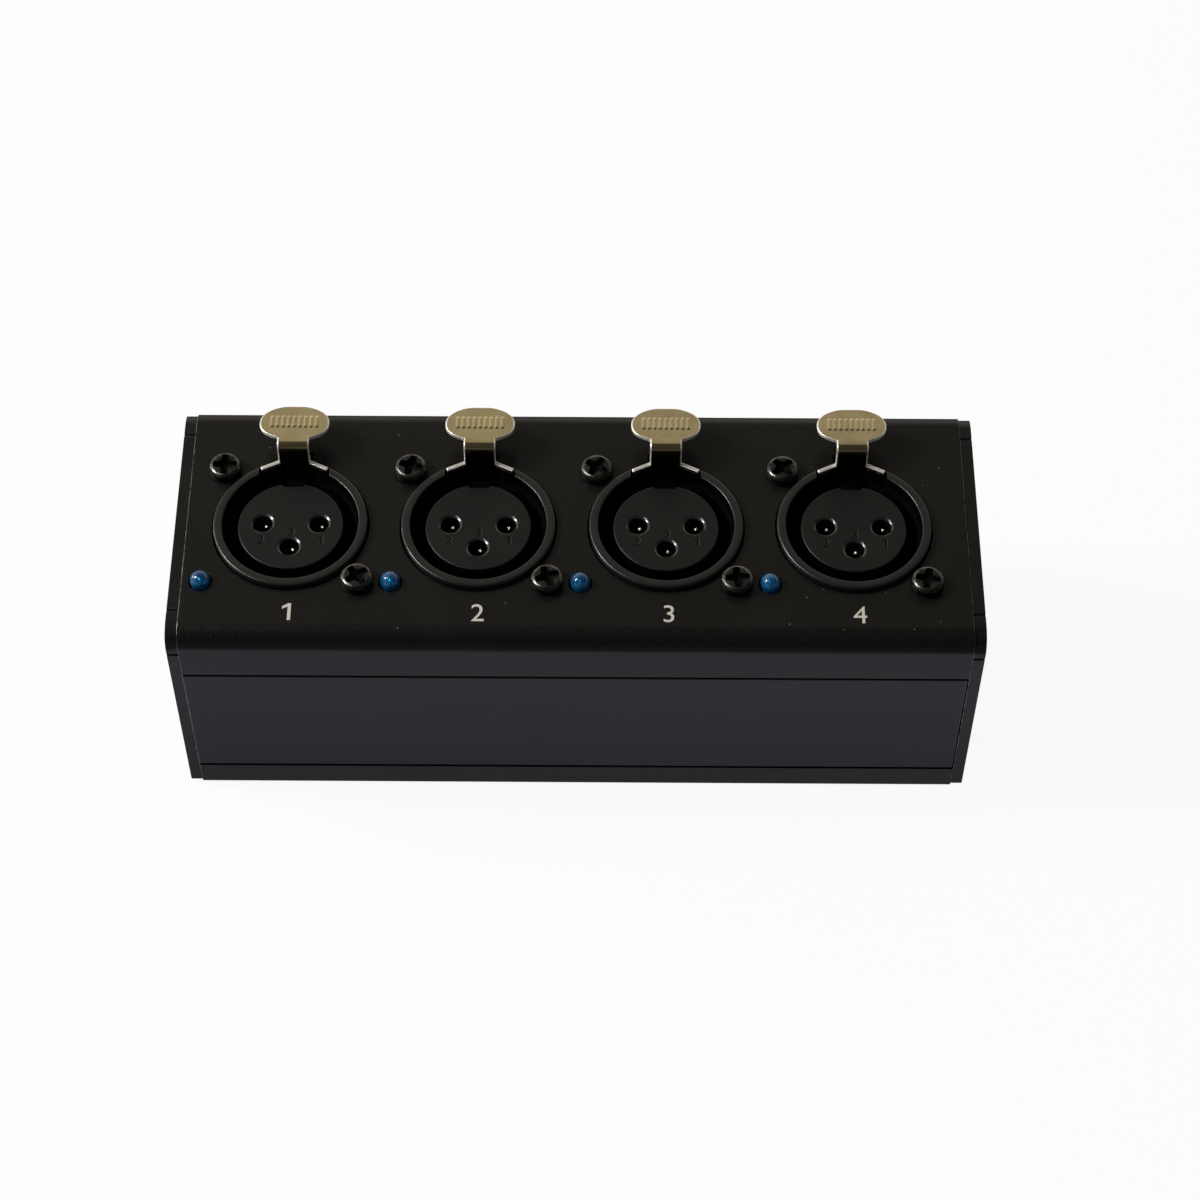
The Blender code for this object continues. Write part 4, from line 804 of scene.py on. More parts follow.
def makeShellMesh():
    # collar ring with a gap behind it, the tube below, its floor, the flange and the lever's pocket
    look = socketLook
    rim = panelTop + look["rimRise"]
    collar, bore, shellR = look["collarR"], look["boreR"], look["shellR"]
    shellLow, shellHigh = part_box("socket_shell_1")[0].z, panelTop - look["ringLow"]
    mouth = bore + look["mouthDraw"]
    narrowFrom, narrowTo = (rim - depth for depth in look["mouthDepth"])
    ring = filletedOutline([(collar, shellHigh, 0.0), (collar, rim, look["collarEdge"]),
                            (mouth, rim, look["boreEdge"]),
                            (mouth - look["mouthStep"], narrowFrom, look["boreEdge"]),
                            (bore, narrowTo, look["boreEdge"]), (bore, shellHigh, 0.0)])
    # points from boreFrom on are the bore, which takes the second finish, painted shade
    inside = (np.arange(len(ring)) >= look["boreFrom"]).astype(int)
    floorTop = shellLow + look["floorHeight"]
    tubeLow = floorTop - look["floorOverlap"]
    tubeHigh = shellHigh - 0.01 * mm
    tube = np.array([(bore, tubeLow), (shellR, tubeLow), (shellR, tubeHigh), (bore, tubeHigh)])
    floor = filletedOutline([(0.0, shellLow, 0.0), (shellR, shellLow, look["shellEdge"]),
                             (shellR, floorTop, 0.0), (0.0, floorTop, 0.0)])
    # painted shade: the ring's cut ends (its caps) and everything but the ring's outside take the bore's
    # finish
    dark = 1                     # everything but the ring's outside is as dark as the bore
    grids = [(slicedRing(ring, look["halfGap"], look["turns"]), False, True, 2, inside),
             (slicedRing(tube, look["pocketHalf"], look["turns"]), False, True, 2, dark),
             (turnedGrid(floor, look["turns"]), True, False, 0, dark)]
    # each ear is a rounded corner, closed towards the bore by an arc round it
    corner = filletedOutline([(look["flangeX"], -look["flangeSide"], 0.0),
                              (look["flangeX"], -look["flangeY"], look["flangeCornerR"]),
                              (look["flangeFoot"], -look["flangeY"], 0.0)])
    aroundBore = arcPoints((0.0, 0.0), look["flangeInnerR"], 0.0, -look["flangeTurn"], 20)
    ear = np.concatenate([corner[::-1], aroundBore])
    flangeLow = shellHigh - look["flangeThickness"]
    inner, outer, front, back = look["pocketHalf"], look["wallHalf"], look["wallFront"], look["wallBack"]
    around = [(outer, front), (outer, back), (-outer, back), (-outer, front)]
    wall = np.array([(inner, front), *around, (-inner, front), (-inner, look["pocketBack"]),
                     (inner, look["pocketBack"])])
    pocketLow = panelTop - look["pocketDepth"]
    for outline, low, high in ((ear, flangeLow, shellHigh), (-ear, flangeLow, shellHigh),
                               (wall, pocketLow, shellHigh - look["wallDrop"]),
                               (np.array(around), pocketLow, pocketLow + look["pocketFloor"])):
        grids.append((prismGrid(outline, low, high), False, True, 2, dark))
    return meshFromGrids("socket shell", grids, 30.0)


def makeInsertMesh():
    # disc with a keyway in its rim and three holes, each with a countersink
    look = socketLook
    radius = look["insertR"]
    start = np.arcsin(look["keywayHalf"] / radius)
    angles = pi / 2 + start + (2 * pi - 2 * start) * np.linspace(0.0, 1.0, look["turns"])
    rim = np.stack([radius * np.cos(angles), radius * np.sin(angles)], -1)
    inner = radius - look["keywayDepth"]
    key = np.array([(look["keywayHalf"], inner), (-look["keywayHalf"], inner)])
    edge, holeR = look["insertEdge"], look["holeR"]
    sinkWidth, sinkDepth = look["sinkWidth"], look["sinkDepth"]
    cutR = holeR + sinkWidth - edge
    places = np.array(look["holes"]) * mm
    outlines = [np.concatenate([rim, key])] + [circle(cutR, x, y, 40) for x, y in places]
    low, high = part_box("contact_insert_1")
    mesh = flatPlate("contact insert", outlines, low.z, high.z, edge)
    # each hole's rounded edge, an arc of radius e from angle 0 at the wall to 90 degrees at the face,
    # is spread into a countersink: share s = angle / 90 gives radius R + w s and height top - d (1 - s)^1.2
    points = pointsOf(mesh, mesh.vertices, "co")
    for place in places:
        away = points[:, :2] - place
        radius = np.linalg.norm(away, axis=1)
        rounded = (radius < cutR + 1.2 * edge) & (points[:, 2] > high.z - 1.02 * edge)
        angle = np.arctan2(points[:, 2] - (high.z - edge), cutR + edge - radius)
        s = np.clip(angle / (pi / 2), 0.0, 1.0)
        wider = (holeR + sinkWidth * s) / np.maximum(radius, 1e-9)
        points[rounded, :2] = (place + away * wider[:, None])[rounded]
        points[rounded, 2] = (high.z - sinkDepth * (1.0 - s) ** 1.2)[rounded]
    mesh.vertices.foreach_set("co", points.ravel())
    mesh.update()
    # walls of the holes and of the rim, below the edge, take the bore's near-black finish, painted shade;
    # countersinks shine
    middles = pointsOf(mesh, mesh.polygons, "center")
    upward = np.abs(pointsOf(mesh, mesh.polygons, "normal")[:, 2])
    shadedWalls = (upward < 0.3) & (middles[:, 2] < high.z - edge * 0.7)
    outward = np.min([np.linalg.norm(middles[:, :2] - place, axis=1) for place in places], axis=0)
    sinks = (outward < holeR + sinkWidth) & (middles[:, 2] > high.z - sinkDepth) & ~shadedWalls
    mesh.polygons.foreach_set("material_index", (shadedWalls + 2 * sinks).astype(np.int32))
    sharpRoundLevelFaces(mesh)
    return mesh


def makePinNumbers(face):
    # moulded pin numbers as two thin films of painted light: the dark digit, painted shade, and, a little to
    # its right and lower, a paler copy, a painted highlight for the wall that would catch the light
    look = socketLook
    shape = bmesh.new()
    for text, across, along in look["numerals"]:
        for shift, share, finish in ((0.0, 1.0, 0), (look["paintedHighlightShift"], 0.5, 1)):
            mesh = lettering(text, look["numeralHeight"], look["numeralFilm"] * share)
            mesh.polygons.foreach_set("material_index", np.full(len(mesh.polygons), finish, np.int32))
            mesh.transform(Matrix.Translation((across * mm + shift, along * mm, face - look["numeralSeat"])))
            shape.from_mesh(mesh)
    whole = bpy.data.meshes.new("pin numbers")
    shape.to_mesh(whole)
    shape.free()
    return whole


def makeSockets():
    look = socketLook
    shell = mouldedPlastic("moulded glass-filled nylon", **look["shell"])
    bore = mouldedPlastic("nylon in painted shade inside the bore", **look["bore"])
    insert = mouldedPlastic("moulded matte polyester", **look["insert"])
    number = mouldedPlastic("painted shade of the pin numerals", **look["numeral"])
    paintedHighlight = mouldedPlastic("painted highlight of the pin numerals", **look["numeralPaintedHighlight"])
    sink = mouldedPlastic("polished polyester countersink", **look["polished"])
    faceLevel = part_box("contact_insert_1")[1].z
    addToSockets([
        ("socket_collar", makeShellMesh(), [shell, bore], "socket_nylon", ["socket_shell_#"], "box"),
        ("insert_face", makeInsertMesh(), [insert, bore, sink], "insert_plastic", ["contact_insert_#"], "box"),
        ("pin_numbers", makePinNumbers(faceLevel), [number, paintedHighlight], "insert_plastic", [], "box")])
    print("sockets made, insert face at %.2f mm" % (faceLevel / mm))


makeBody()
makeSockets()


# Release levers: bent sheet metal with a stamped pad

leverLook = {
    "metal": {"bright": "#bfb38d", "dull": "#b0a480", "cloud": 3.0, "lineWidth": 0.12, "rough": 0.17,
              "relief": 0.0015, "stretch": (0.08, 1.0, 1.0)},
    "shear": {"bright": "#f2efe6", "dull": "#dad6c8", "cloud": 0.8, "lineWidth": 0.10, "rough": 0.34,
              "relief": 0.002, "metallic": 0.6},
    # hook: dark steel, given to the hook and, as painted shade, to the tongue's sheared sides below the panel
    "hook": {"bright": "#0c0c0b", "dull": "#070706", "cloud": 1.5, "lineWidth": 0.2, "rough": 0.5,
             "relief": 0.002, "metallic": 0.3, "gloss": 0.1},
    "sheet": 0.7 * mm,
    "edge": 0.24 * mm,
    "tongueHalf": 2.4 * mm,
    "tongueY": 11.3 * mm,
    "hingeDepth": 13.0 * mm,
    "padRise": 5.2 * mm,
    "bendR": 0.62 * mm,          # middle of the sheet in the bend below the pad
    "padHang": radians(4.0),
    "padHalf": 5.25 * mm,
    "padReach": 3.15 * mm,       # half the pad's length
    "padMiddle": 3.85 * mm,      # from the bend to the pad's middle
    "frontPower": 2.6,
    "backPower": 2.1,
    "neckBlend": 1.6 * mm,
    "ribCount": 9,
    "ribSpacing": 0.84 * mm,
    "ribHalfWidth": 0.20 * mm,
    "ribHalfLength": 1.05 * mm,
    "ribHeight": 0.11 * mm,
    "ribSoft": 0.20 * mm,
    "wingLength": 3.1 * mm,
    "wingAngle": radians(26.0),
    "wingHalfHeight": 0.35 * mm,
    "wingHalfThickness": 0.32 * mm,
    "wingRise": 0.65 * mm,
    "wingRoot": 0.15 * mm,       # wing let into the tongue
    "wingEnd": 0.18 * mm,
    "wingEdge": 0.16 * mm,
    "brightAbove": 0.3 * mm,     # lower than this above the panel the sheared sides take the dark third finish, painted shade
    "hookDepth": 5.2 * mm,
    "hookHeight": 2.4 * mm,
    "hookNose": 0.6 * mm,
    "hookFront": 9.0 * mm,
    "hookHalf": 1.5 * mm,
    "hookEdge": 0.2 * mm,
    "stubHalf": 4.2 * mm,
    "stubR": 0.75 * mm,
    "stubEdge": 0.15 * mm,
    "knuckleR": 1.3 * mm,
    "across": 84,
    "wingAcross": 6,
}


def sheared(across):
    # finishes round a strip of this many points across: its rounded sides carry the second one
    return np.concatenate([np.zeros(across - 1, int), np.ones(12, int), np.zeros(8, int), np.ones(12, int)])


def makeTongue(hinge):
    # sheet strip from the hinge up through the panel and over into the pad
    look = leverLook
    half = look["sheet"] / 2
    turn = pi / 2 + look["padHang"]
    topOfBend = panelTop + look["padRise"] - half
    centre = np.array((0.0, look["tongueY"] + look["bendR"], topOfBend - look["bendR"]))
    # the path's middle line: straight up, round the bend, then out along the pad to its tip
    rise = np.linspace(0.0, centre[2] - hinge, 20)[:-1]
    bend = np.linspace(0.0, turn, 15)[:-1]
    spread = np.linspace(-pi / 2, pi / 2, 70)
    along = np.concatenate([[0.0], look["padMiddle"] + look["padReach"] * np.sin(spread)])
    lean = np.concatenate([0.0 * rise, bend, np.full(len(along), turn)])
    normals = np.stack([0.0 * lean, -np.cos(lean), np.sin(lean)], -1)
    ahead = np.array((0.0, sin(turn), cos(turn)))
    corner = centre + look["bendR"] * np.array((0.0, -cos(turn), sin(turn)))
    foot = np.array((0.0, look["tongueY"], hinge))
    centres = np.concatenate([foot + rise[:, None] * np.array((0.0, 0.0, 1.0)),
                              centre + look["bendR"] * normals[len(rise):len(rise) + len(bend)],
                              corner + along[:, None] * ahead])
    # half width: the neck, softly joined to a rounded oval of (1 - |d|^p)^(1/p)
    before = np.ones(len(rise) + len(bend))
    share = np.clip((along - look["padMiddle"]) / look["padReach"], -1.0, 1.0)
    power = np.where(share < 0.0, look["frontPower"], look["backPower"])
    oval = look["padHalf"] * (1.0 - np.abs(share) ** power) ** (1.0 / power)
    flared = softMaximum(oval, np.full(len(oval), look["tongueHalf"]), look["neckBlend"])
    widths = np.concatenate([before * look["tongueHalf"], np.where(share < 0.0, flared, oval)])
    thickness = half - edgeInset(np.concatenate([before, along[-1] - along]), look["edge"])
    fromMiddle = np.concatenate([before, along - look["padMiddle"]])[:, None]

    def ribs(x):
        # stamped grip ribs across the pad: short raised bars side by side
        places = (np.arange(look["ribCount"]) - (look["ribCount"] - 1) / 2) * look["ribSpacing"]
        gap = np.abs(x[..., None] - places).min(-1)
        return look["ribHeight"] * smoothStep((look["ribHalfWidth"] - gap) / look["ribSoft"] + 0.5) \
            * smoothStep((look["ribHalfLength"] - np.abs(fromMiddle)) / look["ribSoft"] + 0.5)

    # sheared sides below brightAbove take the third finish, painted shade below the panel
    shearOrPaintedShade = np.where(centres[:-1, 2] > panelTop + look["brightAbove"], 1, 2)
    grid = stripGrid(centres, np.array((1.0, 0.0, 0.0)), normals, np.maximum(widths, 1e-6), thickness,
                     look["edge"], look["across"], ribs)
    return grid, False, True, 1, shearOrPaintedShade[:, None] * sheared(look["across"])


def makeWing(side):
    # short strip from the tongue's side, slanting to the front, with its end rounded
    look = leverLook
    length, end, edge = look["wingLength"], look["wingEnd"], look["wingEdge"]
    steps = np.concatenate([np.linspace(0.0, 0.2 * mm, 5), np.linspace(0.5 * mm, length - 0.2 * mm, 5),
                            np.linspace(length - edge, length, 6)])
    inset = edgeInset(length - steps, end)
    run = np.array((side * cos(look["wingAngle"]), -sin(look["wingAngle"]), 0.0))
    root = np.array((side * (look["tongueHalf"] - look["wingRoot"]), look["tongueY"],
                     panelTop + look["wingRise"]))
    outward = np.broadcast_to(np.array((run[1], -run[0], 0.0)), (len(steps), 3))
    grid = stripGrid(root + steps[:, None] * run, np.array((0.0, 0.0, 1.0)), outward,
                     look["wingHalfHeight"] - inset, look["wingHalfThickness"] - inset, edge,
                     look["wingAcross"])
    return grid, False, True, 1, sheared(look["wingAcross"])


def makeLeverMesh():
    # tongue with its pad and wings, the hook that holds a plug, and the turned stub it swings on
    look = leverLook
    hinge = panelTop - look["hingeDepth"]
    low, front, edge = panelTop - look["hookDepth"], look["hookFront"], look["hookEdge"]
    hook = filletedOutline([(look["tongueY"], low, 0.0), (front, low, edge),
                            (front, low + look["hookNose"], edge),
                            (look["tongueY"], low + look["hookHeight"], 0.0)])
    knuckle, half, end = look["knuckleR"], look["tongueHalf"], look["stubHalf"]
    lower = [(0.0, -end, 0.0), (look["stubR"], -end, look["stubEdge"]), (look["stubR"], -half, 0.0),
             (knuckle, -half, edge)]
    stub = filletedOutline(lower + [(radius, -level, rounding) for radius, level, rounding in lower[::-1]])
    grids = [makeTongue(hinge), makeWing(-1.0), makeWing(1.0),
             (prismGrid(hook, -look["hookHalf"], look["hookHalf"], "X"), False, True, 3, 2),
             (turnedGrid(stub, 32, (0.0, look["tongueY"], hinge), "X"), True, False, 0)]
    return meshFromGrids("release lever", grids, 50.0)


def makeLevers():
    metal = platedMetal("yellow-passivated stamped steel", **leverLook["metal"])
    shear = platedMetal("bright sheared steel edge", **leverLook["shear"])
    hook = platedMetal("dark steel of the hook and painted shade below the panel", **leverLook["hook"])
    lever = makeLeverMesh()
    addToSockets([("release_lever", lever, [metal, shear, hook], "lever_nickel", ["latch_#"], "lever_#")])
    print("levers made, %d faces each" % len(lever.polygons))


makeLevers()


# Screws with a cross recess

screwLook = {
    "black": {"bright": "#454543", "dull": "#2a2a29", "cloud": 0.8, "lineWidth": 0.15, "rough": 0.30,
              "relief": 0.004},
    "rubbed": {"bright": "#62625e", "dull": "#2e2e2c", "cloud": 0.9, "lineWidth": 0.15, "rough": 0.26,
               "relief": 0.004},
    # recess: near-black and almost without sheen, painted shade inside the cross recess
    "recess": {"bright": "#070707", "dull": "#040404", "cloud": 0.6, "lineWidth": 0.15, "rough": 0.6,
               "relief": 0.004, "metallic": 0.1, "gloss": 0.05},
    "zinc": {"bright": "#55555a", "dull": "#3f3f42", "cloud": 0.9, "lineWidth": 0.15, "rough": 0.34,
             "relief": 0.004},
    "headR": 2.45 * mm,
    "headHeight": 1.5 * mm,
    "edge": 0.75 * mm,
    "footEdge": 0.1 * mm,
    "shaftR": 1.4 * mm,
    "shaftLength": 8.0 * mm,
    "armReach": 1.74 * mm,
    "armHalf": 0.60 * mm,
    "armTaper": 0.30,            # how much narrower an arm is at its end
    "recessDepth": 1.35 * mm,
    "wallWidth": 0.14 * mm,
    "armBlend": 0.55 * mm,
    "rows": 57,
    "seat": 0.3 * mm,            # head's underside above the panel
    "places": ((-10.4, 10.15), (10.4, -10.15)),
    "turnStep": radians(37.0),
    "endHeadR": 2.6 * mm,
    "endLength": 9.0 * mm,
}


def screwMesh(name, topR, topHeight, sides, rubbedRows):
    # head's top on a square grid bent to a disc, x = R u sqrt(1 - v^2 / 2), y = R v sqrt(1 - u^2 / 2),
    # sunk by the recess: two crossed, tapering arms; then rings (radius, height) down to the shaft's end;
    # finish 0 is the top and the shaft, 1 the rubbed shoulder, 2 the recess, which is painted shade
    look = screwLook
    share = np.linspace(-1.0, 1.0, look["rows"])
    u, v = np.meshgrid(share, share, indexing="ij")
    x = topR * u * np.sqrt(1.0 - v * v / 2)
    y = topR * v * np.sqrt(1.0 - u * u / 2)
    depths = []
    for one, other in ((x, y), (y, x)):
        half = look["armHalf"] * (1.0 - look["armTaper"] * np.abs(one) / look["armReach"])
        depths.append(np.minimum(half - np.abs(other), look["armReach"] - np.abs(one)))
    inside = softMaximum(depths[0], depths[1], look["armBlend"])
    fall = 1.0 - 0.45 * np.hypot(x, y) / look["armReach"]
    sunk = look["recessDepth"] * fall * smoothStep(inside / look["wallWidth"] + 0.5)
    top = np.stack([x, y, topHeight - sunk], -1)
    # a quad with a corner well below the head's top belongs to the recess and takes its painted shade
    deepest = np.maximum(np.maximum(sunk[1:, 1:], sunk[:-1, 1:]), np.maximum(sunk[1:, :-1], sunk[:-1, :-1]))
    recess = np.where(deepest > 0.3 * look["recessDepth"], 2, 0)
    rim = np.concatenate([top[0, :-1], top[:-1, -1], top[-1, :0:-1], top[:0:-1, 0]])
    aim = rim[:, :2] / np.linalg.norm(rim[:, :2], axis=1)[:, None]
    rings = [rim] + [np.concatenate([aim * radius, np.full((len(aim), 1), height)], 1)
                     for radius, height in sides]
    shoulder = np.where(np.arange(len(sides)) < rubbedRows, 1, 0)[:, None] + np.zeros(len(aim), int)
    return meshFromGrids(name, [(top, False, False, 0, recess), (np.array(rings), False, True, 0, shoulder)],
                         40.0)


def makeScrews():
    look = screwLook
    black = platedMetal("black oxide steel", **look["black"])
    zinc = platedMetal("dark zinc-plated steel", **look["zinc"])
    rubbed = platedMetal("black oxide steel, rubbed rim", **look["rubbed"])
    recess = platedMetal("black oxide steel, painted shade in the recess", **look["recess"])
    headR, shaftR, edge, foot = look["headR"], look["shaftR"], look["edge"], look["footEdge"]
    sides = [*arcPoints((headR - edge, look["headHeight"] - edge), edge, 80.0, 0.0, 9), (headR, foot),
             (headR - foot, 0.0), (shaftR, 0.0), (shaftR, -look["shaftLength"]), (0.0, -look["shaftLength"])]
    pan = screwMesh("pan head screw", headR - edge, look["headHeight"], sides, 4)
    for number in range(1, socketCount + 1):
        x, y = socketCentre(number)
        for k, (across, along) in enumerate(look["places"]):
            turn = look["turnStep"] * (2 * (number - 1) + k)
            screw = movedCopy(pan, x + across * mm, y + along * mm, panelTop + look["seat"], turn)
            ending = "_%d_%d" % (number, k + 1)
            addPiece("panel_screw" + ending, screw, [black, rubbed, recess],
                     ["socket_screw" + ending])
    headR = look["endHeadR"]
    sides = [(headR - 0.03 * mm, -0.02 * mm), (headR, -0.08 * mm), (shaftR, shaftR - headR),
             (shaftR, -look["endLength"]), (0.0, -look["endLength"])]
    flat = screwMesh("flat head screw", headR - 0.1 * mm, 0.0, sides, 2)
    for name, side in (("left", -1), ("right", 1)):
        for k in range(4):
            ending = "_%s_%d" % (name, k + 1)
            low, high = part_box("end_screw" + ending)
            outer = high.x if side > 0 else low.x
            screw = flat.copy()
            screw.transform(Matrix.Translation((outer, (low.y + high.y) / 2, (low.z + high.z) / 2))
                            @ Matrix.Rotation(side * pi / 2, 4, "Y")
                            @ Matrix.Rotation(k * look["turnStep"], 4, "Z"))
            addPiece("plate_screw" + ending, screw, [zinc, zinc, recess],
                     ["end_screw" + ending])
    print("screws made")


makeScrews()


# Lamps, contacts and springs

lampLook = {
    "resin": {"deep": "#045d9e", "pale": "#1690d2", "clear": 0.72, "cloud": 1.5},
    "leadMetal": {"bright": "#b9b7b0", "dull": "#98958c", "cloud": 1.2, "lineWidth": 0.1, "rough": 0.3,
                  "relief": 0.002, "stretch": (1.0, 1.0, 0.1)},
    "place": (-12.7 * mm, -10.2 * mm),
    "radius": 1.5 * mm,
    "rise": 1.8 * mm,
    "footR": 1.9 * mm,
    "footDepth": 5.3 * mm,
    "footHeight": 1.0 * mm,
    "footEdge": 0.1 * mm,
    "leadHalf": 1.27 * mm,
    "leadR": 0.28 * mm,
    "leadReach": 0.3 * mm,       # leads' ends inside the resin
    "postR": 0.25 * mm,
    "postFoot": 0.2 * mm,        # posts' lower ends inside the resin
    "postGap": 0.42 * mm,
    "cupR": 0.55 * mm,           # reflector cup on the left post: its rim, its foot and how far they stand
    "cupFoot": 0.3 * mm,         # above and below the post's end
    "cupRise": 0.3 * mm,
    "cupDepth": 0.5 * mm,
}


def makeLamps():
    look = lampLook
    resin = tintedResin("blue cast epoxy", **look["resin"])
    leadMetal = platedMetal("tinned lead wire", **look["leadMetal"])
    top = panelTop + look["rise"]
    foot = panelTop - look["footDepth"]
    footTop = foot + look["footHeight"]
    radius, wide, edge = look["radius"], look["footR"], look["footEdge"]
    outline = [(0.0, foot), (wide - edge, foot), (wide, foot + edge), (wide, footTop - edge),
               (wide - edge, footTop), (radius, footTop),
               *arcPoints((0.0, top - radius), radius, 0.0, 90.0, 15)]
    lens = meshFromGrids("lamp lens", [(turnedGrid(np.array(outline), 48), True, False, 0)], 50.0)
    boardLow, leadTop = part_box("main_board")[0].z, foot + look["leadReach"]
    lead = filletedOutline([(0.0, boardLow, 0.0), (look["leadR"], boardLow, 0.0),
                            (look["leadR"], leadTop, 0.05 * mm), (0.0, leadTop, 0.0)])
    postLow, postTop = foot + look["postFoot"], top - radius - look["cupRise"]
    post = filletedOutline([(0.0, postLow, 0.0), (look["postR"], postLow, 0.0),
                            (look["postR"], postTop, 0.1 * mm), (0.0, postTop, 0.0)])
    cupLow, cupHigh = postTop - look["cupDepth"], postTop + look["cupRise"]
    cup = filletedOutline([(0.0, cupLow, 0.0), (look["cupFoot"], cupLow, 0.0),
                           (look["cupR"], cupHigh, 0.04 * mm), (0.0, postTop - 0.1 * mm, 0.0)])
    turned = [(lead, 12, -look["leadHalf"]), (post, 12, -look["postGap"]), (lead, 12, look["leadHalf"]),
              (post, 12, look["postGap"]), (cup, 24, -look["postGap"])]
    leads = meshFromGrids("lamp leads", [(turnedGrid(profile, turns, (x, 0.0, 0.0)), True, False, 0)
                                         for profile, turns, x in turned], 40.0)
    addToSockets([("lamp_lens", lens, [resin], "blue_lamp", ["status_led_#"], "box"),
                  ("lamp_leads", leads, [leadMetal], "jack_shield", [], "box")], look["place"])
    print("lamps made")


contactLook = {
    "silver": {"bright": "#cfc9ba", "dull": "#a39c86", "cloud": 0.8, "lineWidth": 0.1, "rough": 0.18,
               "relief": 0.001, "stretch": (1.0, 1.0, 0.2)},
    # inside: near-black, painted shade on the sleeve's rim and in its bore
    "inside": {"bright": "#141310", "dull": "#0b0b09", "cloud": 0.8, "lineWidth": 0.2, "rough": 0.55,
               "relief": 0.001, "stretch": (1.0, 1.0, 0.2), "metallic": 0.5, "gloss": 0.1},
    "dimple": {"bright": "#e2ddd0", "dull": "#c9c3b2", "cloud": 0.8, "lineWidth": 0.1, "rough": 0.34,
               "relief": 0.001, "stretch": (1.0, 1.0, 0.2)},
    "dimpleR": 0.29 * mm,
    "dimpleHeight": 0.06 * mm,
    "dimpleFacing": (-0.25, -0.31, 0.92),
    "dimplePlace": (0.28 * mm, 0.75 * mm, 0.12 * mm),    # from the sleeve's axis and its upper end
    "tailR": 0.5 * mm,
    "tubeR": 1.38 * mm,
    "tubeLength": 14.0 * mm,
    "boreR": 0.95 * mm,
    "boreDepth": 10.0 * mm,
    "rimLower": 0.25 * mm,
}


def makeContacts():
    look = contactLook
    silver = platedMetal("silver-plated brass", **look["silver"])
    inside = platedMetal("painted shade in the sleeve's mouth and bore", **look["inside"])
    dimpled = platedMetal("rubbed silver plating", **look["dimple"])
    low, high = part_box("socket_contact_1_1")
    rim = high.z - look["rimLower"]
    base = high.z - look["tubeLength"]
    depth, tail, tube, hollow = rim - look["boreDepth"], look["tailR"], look["tubeR"], look["boreR"]
    profile = filletedOutline([(0.0, low.z, 0.0), (tail, low.z, 0.1 * mm), (tail, base, 0.0),
                               (tube, base, 0.2 * mm), (tube, rim, 0.1 * mm), (hollow, rim, 0.22 * mm),
                               (hollow, depth, 0.3 * mm), (0.0, depth, 0.0)])
    # the rim and the bore carry painted shade, a near-black finish; the dimple of the spring leaf that presses
    # on the pin stays bright
    mouth = profile[:, 1] > rim - 0.3 * mm
    bore = (profile[:, 0] < hollow + 0.02 * mm) & (profile[:, 1] > base)
    shadedMouthAndBore = (mouth | bore).astype(int)
    flattened = arcPoints((0.0, 0.0), 1.0, -90.0, 90.0, 17) * (look["dimpleR"], look["dimpleHeight"])
    # turned by the shortest way so that its axis leaves Z and leans out of the sleeve
    facing = Vector((0.0, 0.0, 1.0)).rotation_difference(Vector(look["dimpleFacing"])).to_matrix()
    dimple = turnedGrid(flattened, 20) @ np.array(facing).T + np.array(look["dimplePlace"])
    places = [(x * mm, y * mm, 0.0) for x, y in socketLook["holes"]]
    grids = [(turnedGrid(profile, 40, place), True, False, 0, shadedMouthAndBore) for place in places]
    grids += [(dimple + np.array(place) + np.array((0.0, 0.0, rim)), True, False, 0, 2) for place in places]
    sleeves = meshFromGrids("contact sleeves", grids, 40.0)
    addToSockets([("contact_sleeves", sleeves, [silver, inside, dimpled], "contact_brass",
                   ["socket_contact_#_1", "socket_contact_#_2", "socket_contact_#_3"], "box")])
    print("contacts made")


springLook = {
    "steel": {"bright": "#a9a9a6", "dull": "#8b8b88", "cloud": 1.0, "lineWidth": 0.1, "rough": 0.25,
              "relief": 0.001},
    "radius": 1.05 * mm,
    "wireR": 0.13 * mm,
    "coils": 4.0,
    "kept": 0.35,                # share of the spring's length left when the lever is pushed back
}


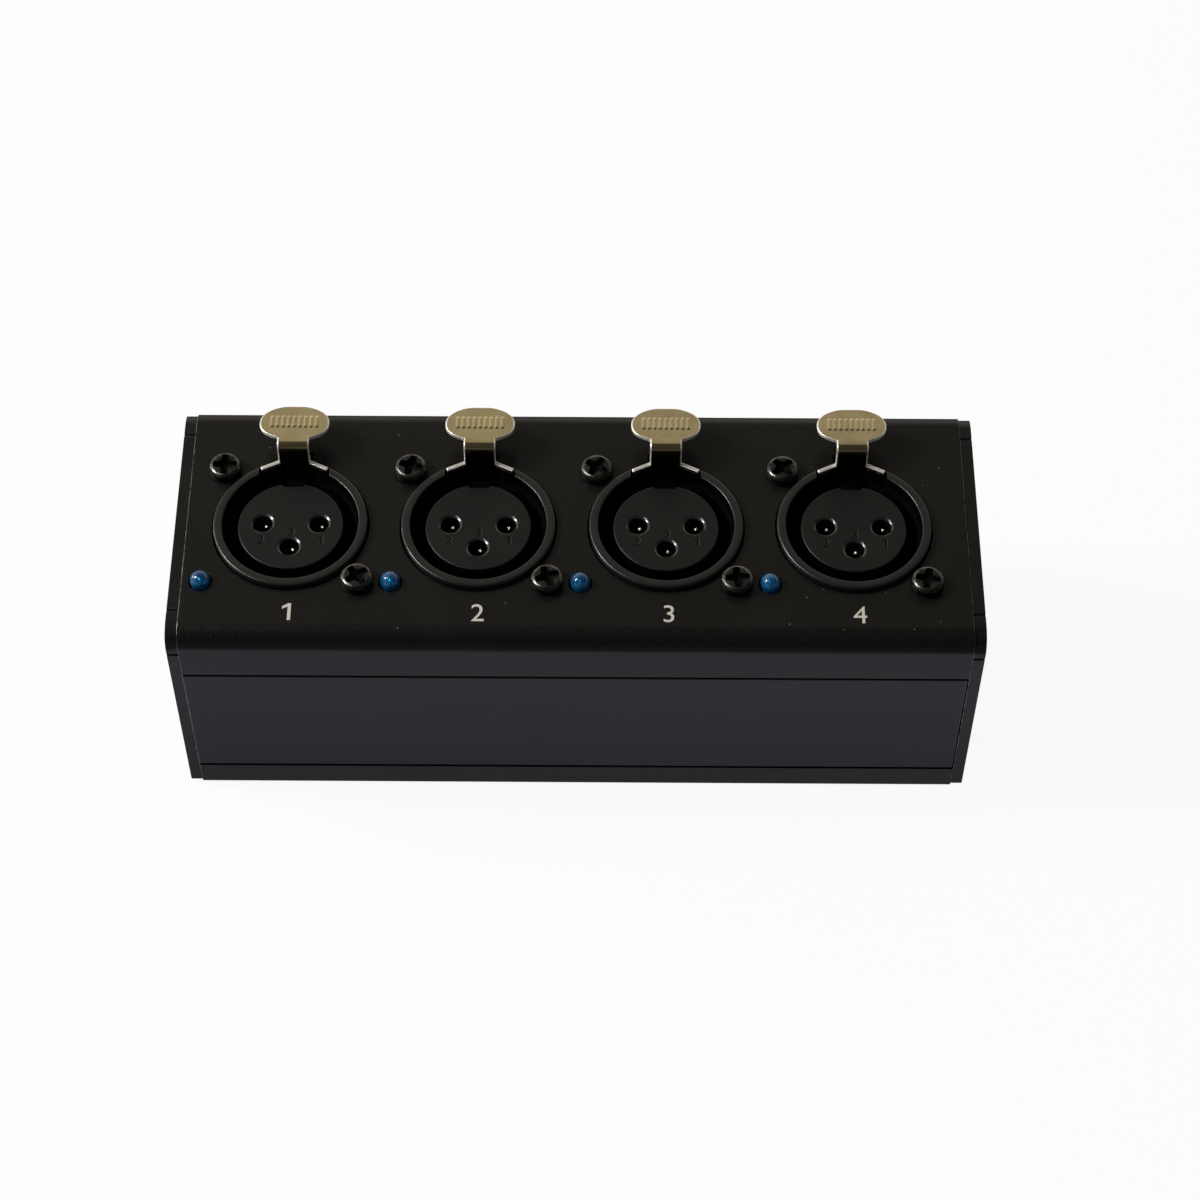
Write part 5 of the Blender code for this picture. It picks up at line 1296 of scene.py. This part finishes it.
def makeSprings():
    # wire carried along a helix: radius to either side and along its axis, which runs front to back
    look = springLook
    steel = platedMetal("drawn spring steel", **look["steel"])
    for number in range(1, socketCount + 1):
        low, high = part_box("latch_spring_%d" % number)
        middle = np.array(((low.x + high.x) / 2, 0.0, (low.z + high.z) / 2))
        turns = np.linspace(0.0, 2 * pi * look["coils"], int(28 * look["coils"]))
        y = np.linspace(low.y + look["wireR"], high.y - look["wireR"], len(turns))
        outward = np.stack([np.cos(turns), 0.0 * turns, np.sin(turns)], -1)
        path = middle + look["radius"] * outward + np.stack([0.0 * y, y, 0.0 * y], -1)
        ends = circle(look["wireR"], 0.0, 0.0, 10)
        wire = path[:, None, :] + ends[:, :1] * outward[:, None, :] + ends[:, 1:] * np.array((0.0, 1.0, 0.0))
        mesh = meshFromGrids("coil spring", [(wire, False, True, 1)], 50.0)
        spring = addPiece("coil_spring_%d" % number, mesh, [steel],
                          ["latch_spring_%d" % number])
        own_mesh(spring)
    print("springs made")


makeLamps()
makeContacts()
makeSprings()


# Jacks at the right end, board and chips

jackLook = {
    "shield": {"bright": "#c9c8c2", "dull": "#a5a49c", "cloud": 5.0, "lineWidth": 0.2, "rough": 0.3,
               "relief": 0.003, "stretch": (0.1, 1.0, 1.0)},
    "gold": {"bright": "#e8c069", "dull": "#cda251", "cloud": 1.0, "lineWidth": 0.1, "rough": 0.2,
             "relief": 0.001, "stretch": (0.1, 1.0, 1.0)},
    "moulding": {"dark": "#141414", "light": "#191919", "cloud": 5.0, "texture": 0.25, "rough": 0.45,
                 "gloss": 0.35, "relief": 0.006},
    "chip": {"dark": "#1b1b1b", "light": "#222222", "cloud": 3.0, "texture": 0.15, "rough": 0.6,
             "gloss": 0.3, "relief": 0.008},
    "board": {"mask": "#1c4a2c", "overCopper": "#2d6a3d", "trackScale": 9.6},    # tracks lie 0.36 of it apart
    "edge": 0.1 * mm,
}


def makeJacks():
    look = jackLook
    shield = platedMetal("tinned sheet steel", **look["shield"])
    moulding = mouldedPlastic("black jack moulding", **look["moulding"])
    for name, node, finish, slot in (("network_jack_shield", "ethernet_shield", shield, "jack_shield"),
                                     ("network_jack_housing", "ethernet_body", moulding, "jack_moulding"),
                                     ("supply_jack_housing", "dc_jack_body", moulding, "jack_moulding")):
        roundedCopy(name, node, look["edge"], [finish])
    for name, finish in (("ethernet_contacts", platedMetal("gold-plated wire", **look["gold"])),
                         ("dc_jack_pin", platedMetal("nickel-plated pin", **contactLook["silver"])),
                         ("main_board", solderMaskBoard("green solder mask on laminate", **look["board"])),
                         ("controller_chip", mouldedPlastic("moulded chip epoxy", **look["chip"])),
                         ("line_driver_chip", mouldedPlastic("moulded driver epoxy", **look["chip"]))):
        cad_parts[name].material_slots[0].material = finish
    print("jacks, board and chips finished")


makeJacks()
